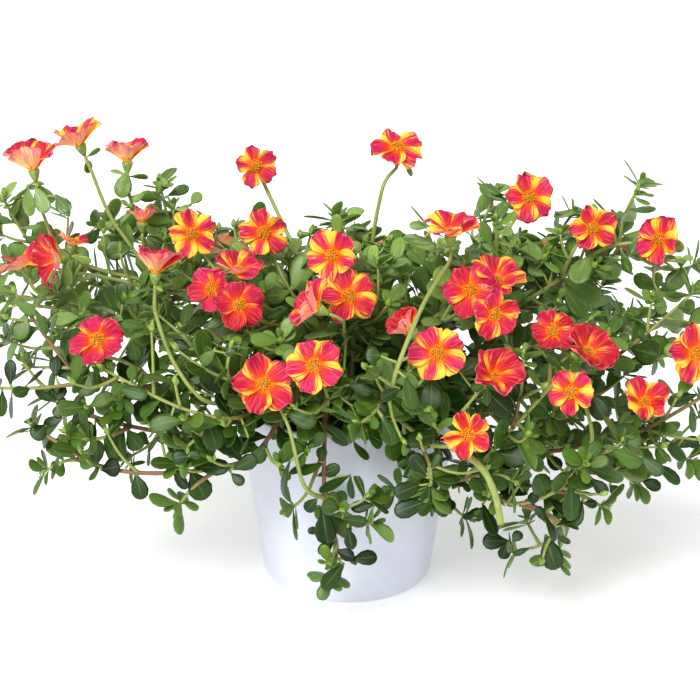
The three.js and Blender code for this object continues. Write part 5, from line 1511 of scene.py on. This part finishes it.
def petalPattern():
    # A hot ground from red to magenta with streaks and a paler rim, a golden foot, and yellow wedges down both
    # sides. The outside is paler. The glow is painted light in the same colour, more of it on the shaded
    # outside.
    labels = ("Along", "Across", "Face", "Hue", "Wedge", "Run")
    make = Pattern("Petal pattern", labels, Color="Color", Glow="Color", Height="Float")
    along, across, face, hue, wedge, run = make.given
    side = make.calc("ABSOLUTE", across)
    streak = make.noise((make.times(across, 4.5), make.times(along, 0.9), make.times(hue, 60.0)), 2.2, 3.0)
    fine = make.noise((make.times(across, 16.0), along, hue), 2.0, 1.0)
    inner = make.fade(make.plus(along, make.times(streak, 0.3)), 0.85, 0.35)
    rim = make.calc("MAXIMUM", make.fade(side, 0.93, 1.0), make.fade(along, 0.95, 1.0))
    ground = make.blend(make.times(hue, 1.35), (180, 10, 16), (194, 22, 88))
    ground = make.cover(ground, (226, 58, 8), inner)
    ground = make.cover(ground, (238, 100, 100), make.fade(streak, 0.46, 0.72), 0.65)
    ground = make.cover(ground, (130, 2, 18), make.fade(fine, 0.4, 0.76), 0.65)
    ground = make.cover(ground, (238, 110, 112), rim, 0.45)

    # A wedge lies past a ragged line near each side, wider on one side of each petal than on the other, and
    # runs out as far as the petal's own run, with a halo round it.
    ragged = make.plus(side, make.times(make.minus(streak, 0.5), 1.5))
    lopsided = make.plus(make.swing(run, 71.0, 0.64, 0.2), make.times(across, make.swing(run, 40.0, 0.1, 0.3)))
    past = make.minus(ragged, make.minus(1.0, make.times(wedge, lopsided)))
    worn = make.plus(make.minus(along, make.times(run, 1.25)), make.times(fine, 0.3))
    within = make.fade(worn, 0.2, -0.2)
    ground = make.cover(ground, (236, 88, 40), make.times(make.fade(past, -0.42, 0.0), within), 0.6)
    yellow = make.blend(make.fade(along, 0.2, 0.6), (240, 130, 18), (248, 204, 62))
    yellow = make.cover(yellow, (244, 132, 70), make.fade(fine, 0.5, 0.75), 0.5)
    painted = make.cover(ground, yellow, make.times(make.fade(past, -0.1, 0.16), within))

    foot = make.fade(make.plus(along, make.times(fine, 0.15)), 0.52, 0.18)
    painted = make.cover(painted, (232, 74, 16), foot, 0.75)
    painted = make.cover(painted, (238, 140, 22), make.fade(along, 0.36, 0.14))
    outside = make.blend(make.fade(along, 0.1, 0.66), (255, 216, 112), (255, 132, 144))
    outside = make.cover(outside, (255, 206, 128), make.fade(streak, 0.46, 0.64))
    outside = make.cover(outside, (226, 60, 96), rim, 0.5)
    back = make.fade(face, 0.1, -0.2)
    painted = make.cover(painted, outside, back, 0.9)
    # Painted light: emission in the petal's colour, strongest on the outside, which faces away from the lamp.
    glow = make.blend(make.plus(0.3, make.times(back, 0.7)), (0, 0, 0), painted)
    return make.give(Color=painted, Glow=glow, Height=fine)


def stalkPattern():
    # Yellow green, brown up to where it is old, with lengthwise streaks; a cut end is dry.
    make = Pattern("Stalk pattern", ("Along", "Around", "Chance", "Old", "Cut"), Color="Color")
    along, around, chance, old, cut = make.given
    places = (make.times(along, 6.0), make.times(around, 1.5), make.times(chance, 30.0))
    streak = make.noise(places, 2.0, 3.0)
    green = make.blend(streak, (118, 138, 54), (170, 181, 100))
    brown = make.blend(streak, (112, 70, 50), (150, 104, 74))
    share = make.minus(make.times(old, 1.25), along)
    share = make.plus(share, make.times(make.minus(streak, 0.5), 0.6))
    painted = make.cover(green, brown, make.fade(share, -0.1, 0.55))
    dry = make.times(cut, make.fade(along, 0.97, 1.0))
    return make.give(Color=make.cover(painted, (92, 62, 40), dry))


def newFinish(name, roughness, **constants):
    # A material with the constants of its shader set, the nodes to feed it and the shader's inputs.
    finish = bpy.data.materials.new(name)
    finish.use_nodes = True
    nodes = Nodes(finish.node_tree)
    shader = finish.node_tree.nodes["Principled BSDF"].inputs
    for label, value in dict(Roughness=roughness, **constants).items():
        shader[label.replace("_", " ")].default_value = value
    return finish, nodes, shader


# Where each input of the patterns comes from: one of the mesh's own coordinates, and which part of it.
sources = dict(Along=("blade", 0), Across=("blade", 1), Around=("blade", 1), Face=("blade", 2))
sources.update(Chance=("mark", 0), Hue=("mark", 0), Youth=("mark", 1), Wedge=("mark", 1), Old=("mark", 1))
sources.update(Depth=("mark", 2), Run=("mark", 2), Cut=("mark", 2))


def patternFinish(name, roughness, pattern, bump=None, glow=0, **constants):
    # A material fed by a pattern. A glow is painted light: emission that stands for the light coming through
    # thin petals and lifts their shaded outsides.
    finish, nodes, shader = newFinish(name, roughness, **constants)
    group = nodes.add("Group", node_tree=pattern)
    split = {}
    for label in ("blade", "mark"):
        value = nodes.add("Attribute", attribute_name=label).outputs["Vector"]
        split[label] = nodes.add("SeparateXYZ", {0: value}).outputs
    for socket in group.inputs:
        label, part = sources[socket.name]
        nodes.feed(socket, split[label][part])
    nodes.feed(shader["Base Color"], group.outputs["Color"])
    if glow:
        nodes.feed(shader["Emission Color"], group.outputs["Glow"])
        nodes.feed(shader["Emission Strength"], glow)
    if bump:
        nodes.bump(shader, group.outputs["Height"], *bump)
    return finish


def plainFinish(name, dark, light, scale, roughness, bump):
    # Between two near colours by noise over the object's own place, with the roughness and relief uneven too.
    make = Pattern(name, ["Place"], "Vector", Color="Color", Roughness="Float", Height="Float")
    grain = make.grain(make.given[0], scale, 3.0)
    tint = make.blend(make.fade(grain, 0.3, 0.7), dark, light)
    rough = make.plus(roughness - 0.08, make.times(grain, 0.16))
    tree = make.give(Color=tint, Roughness=rough, Height=grain)
    finish, nodes, shader = newFinish(name, roughness)
    place = nodes.add("TexCoord").outputs["Object"]
    group = nodes.add("Group", {"Place": place}, node_tree=tree).outputs
    nodes.feed(shader["Base Color"], group["Color"])
    nodes.feed(shader["Roughness"], group["Roughness"])
    nodes.bump(shader, group["Height"], 0.3, bump)
    return finish


def soilFinish():
    # Dark fibres with pale and near-black crumbs, by noise over the object's own place.
    finish, nodes, shader = newFinish("potting soil", 0.95)
    place = nodes.add("TexCoord").outputs["Object"]
    coarse, fine = nodes.grain(place, 260.0, 4.0), nodes.grain(place, 900.0, 3.0)
    brown = nodes.blend(nodes.fade(coarse, 0.35, 0.65), (34, 24, 18), (78, 58, 42))
    nodes.feed(shader["Base Color"], nodes.cover(brown, (120, 96, 70), nodes.fade(fine, 0.62, 0.72)))
    nodes.bump(shader, fine, 0.6, 0.0006)
    return finish


potFinish = plainFinish("white plastic", (207, 211, 226), (214, 218, 231), 45.0, 0.4, 0.0002)
soilTopFinish = soilFinish()
leafFinish = patternFinish("leaf", 0.38, leafPattern(), (0.25, 0.0004), Specular_IOR_Level=0.3)
# The petals' glow is painted light.
petalFinish = patternFinish("petal", 0.6, petalPattern(), (0.3, 0.0004), glow=0.24, Specular_IOR_Level=0.2)
stalkFinish = patternFinish("stalk", 0.5, stalkPattern())
budFinish = plainFinish("bud", (98, 132, 40), (150, 176, 76), 420.0, 0.46, 0.0003)
calyxFinish = plainFinish("bloom foot", (112, 140, 56), (150, 172, 86), 420.0, 0.46, 0.0003)
heartFinish = plainFinish("bloom heart", (208, 124, 12), (228, 148, 20), 900.0, 0.6, 0.0004)
stamenFinish = plainFinish("stamen", (222, 136, 14), (242, 180, 36), 700.0, 0.6, 0.0002)
print("finishes made")

pot = addPiece("whitePot", [lathePart(potProfile(), potForm["sides"], potFinish)], [potFinish])
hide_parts("pot")
lump = lathePart(soilProfile(), potForm["sides"], soilTopFinish, lift=crumbs)
lump = addPiece("pottingSoil", [lump], [soilTopFinish])
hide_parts("soil")

stemFinishes = [stalkFinish, leafFinish, budFinish]
for node, grown in enumerate(foliage):
    parts = [tubePart(run, stalkFinish) for run in runs if run["node"] == node]
    parts.append(leafPart(grown["leaves"], leafFinish))
    if grown["buds"]:
        parts.append(budPart(grown["buds"], budFinish))
    piece = addPiece(f"leafyStem{node + 1:02d}", parts, stemFinishes)
    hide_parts(f"leafy_stem_{node + 1:02d}")
print("leafy stems made")

bloomFinishes = [petalFinish, heartFinish, calyxFinish, stamenFinish]
leaning = {number for pair in leaningBlooms for number in pair}
for numbers in [*[(number,) for number in blooms if number not in leaning], *leaningBlooms]:
    parts = []
    for number in numbers:
        heart, axis, _ = hearts[number]
        seat = (turnTo(axis), heart, heartForm["beyond"])
        parts.append(petalPart(number, petalFinish))
        parts.append(lathePart(heartForm["dome"], heartForm["around"], heartFinish, *seat))
        parts.append(lathePart(heartForm["foot"], heartForm["around"], calyxFinish, *seat))
        parts.append(stamenPart(number, stamenFinish))
    digits = "_".join(f"{number:02d}" for number in numbers)
    piece = addPiece("openBloom" + digits.replace("_", "and"), parts, bloomFinishes)
    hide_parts("bloom_" + digits)
print("blooms made")

bpy.ops.mesh.primitive_plane_add(size=20)
floor = bpy.context.object
floor.name = "paleFloor"
paleFloor = dict(Base_Color=(0.97, 0.97, 0.97, 1), Emission_Color=(1, 1, 1, 1), Emission_Strength=0.28)
floor.data.materials.append(newFinish("pale floor", 0.9, **paleFloor)[0])

bpy.context.scene.view_settings.view_transform = "Standard"
world = bpy.data.worlds.new("soft sky")
bpy.context.scene.world = world
world.use_nodes = True
world.node_tree.nodes["Background"].inputs["Color"].default_value = (1, 1, 1, 1)
world.node_tree.nodes["Background"].inputs["Strength"].default_value = 0.68


def standAt(name, data, side, up, away, at):
    # An object whose own X, Y and Z point along side, up and away, at a place in metres.
    thing = bpy.data.objects.new(name, data)
    thing.matrix_world = Matrix([*zip(side, up, away, at), (0, 0, 0, 1)])
    bpy.context.scene.collection.objects.link(thing)
    return thing


# A far light whose rays spread a little, from the front and above, left of the camera.
sun = dict(at=(-0.55, -1.2, 1.35), towards=(0, 0, 0.12), spread=0.5, power=2.8)
lamp = bpy.data.lights.new("keyLight", "SUN")
lamp.angle, lamp.energy = sun["spread"], sun["power"]
away = unit(np.array(sun["at"], float) - np.array(sun["towards"], float))
side = unit(np.cross([0, 0, 1.0], away))
standAt("keyLight", lamp, side, np.cross(away, side), away, sun["at"])

view = dict(lens=128.6, aim=(0.0016, 0.045, 0.1238), distance=eyeDistance / 1000)
lens = bpy.data.cameras.new("camera")
lens.lens = view["lens"]
spot = np.array(view["aim"]) - sheetIn * view["distance"]
bpy.context.scene.camera = standAt("camera", lens, (1.0, 0.0, 0.0), sheetUp, -sheetIn, spot)
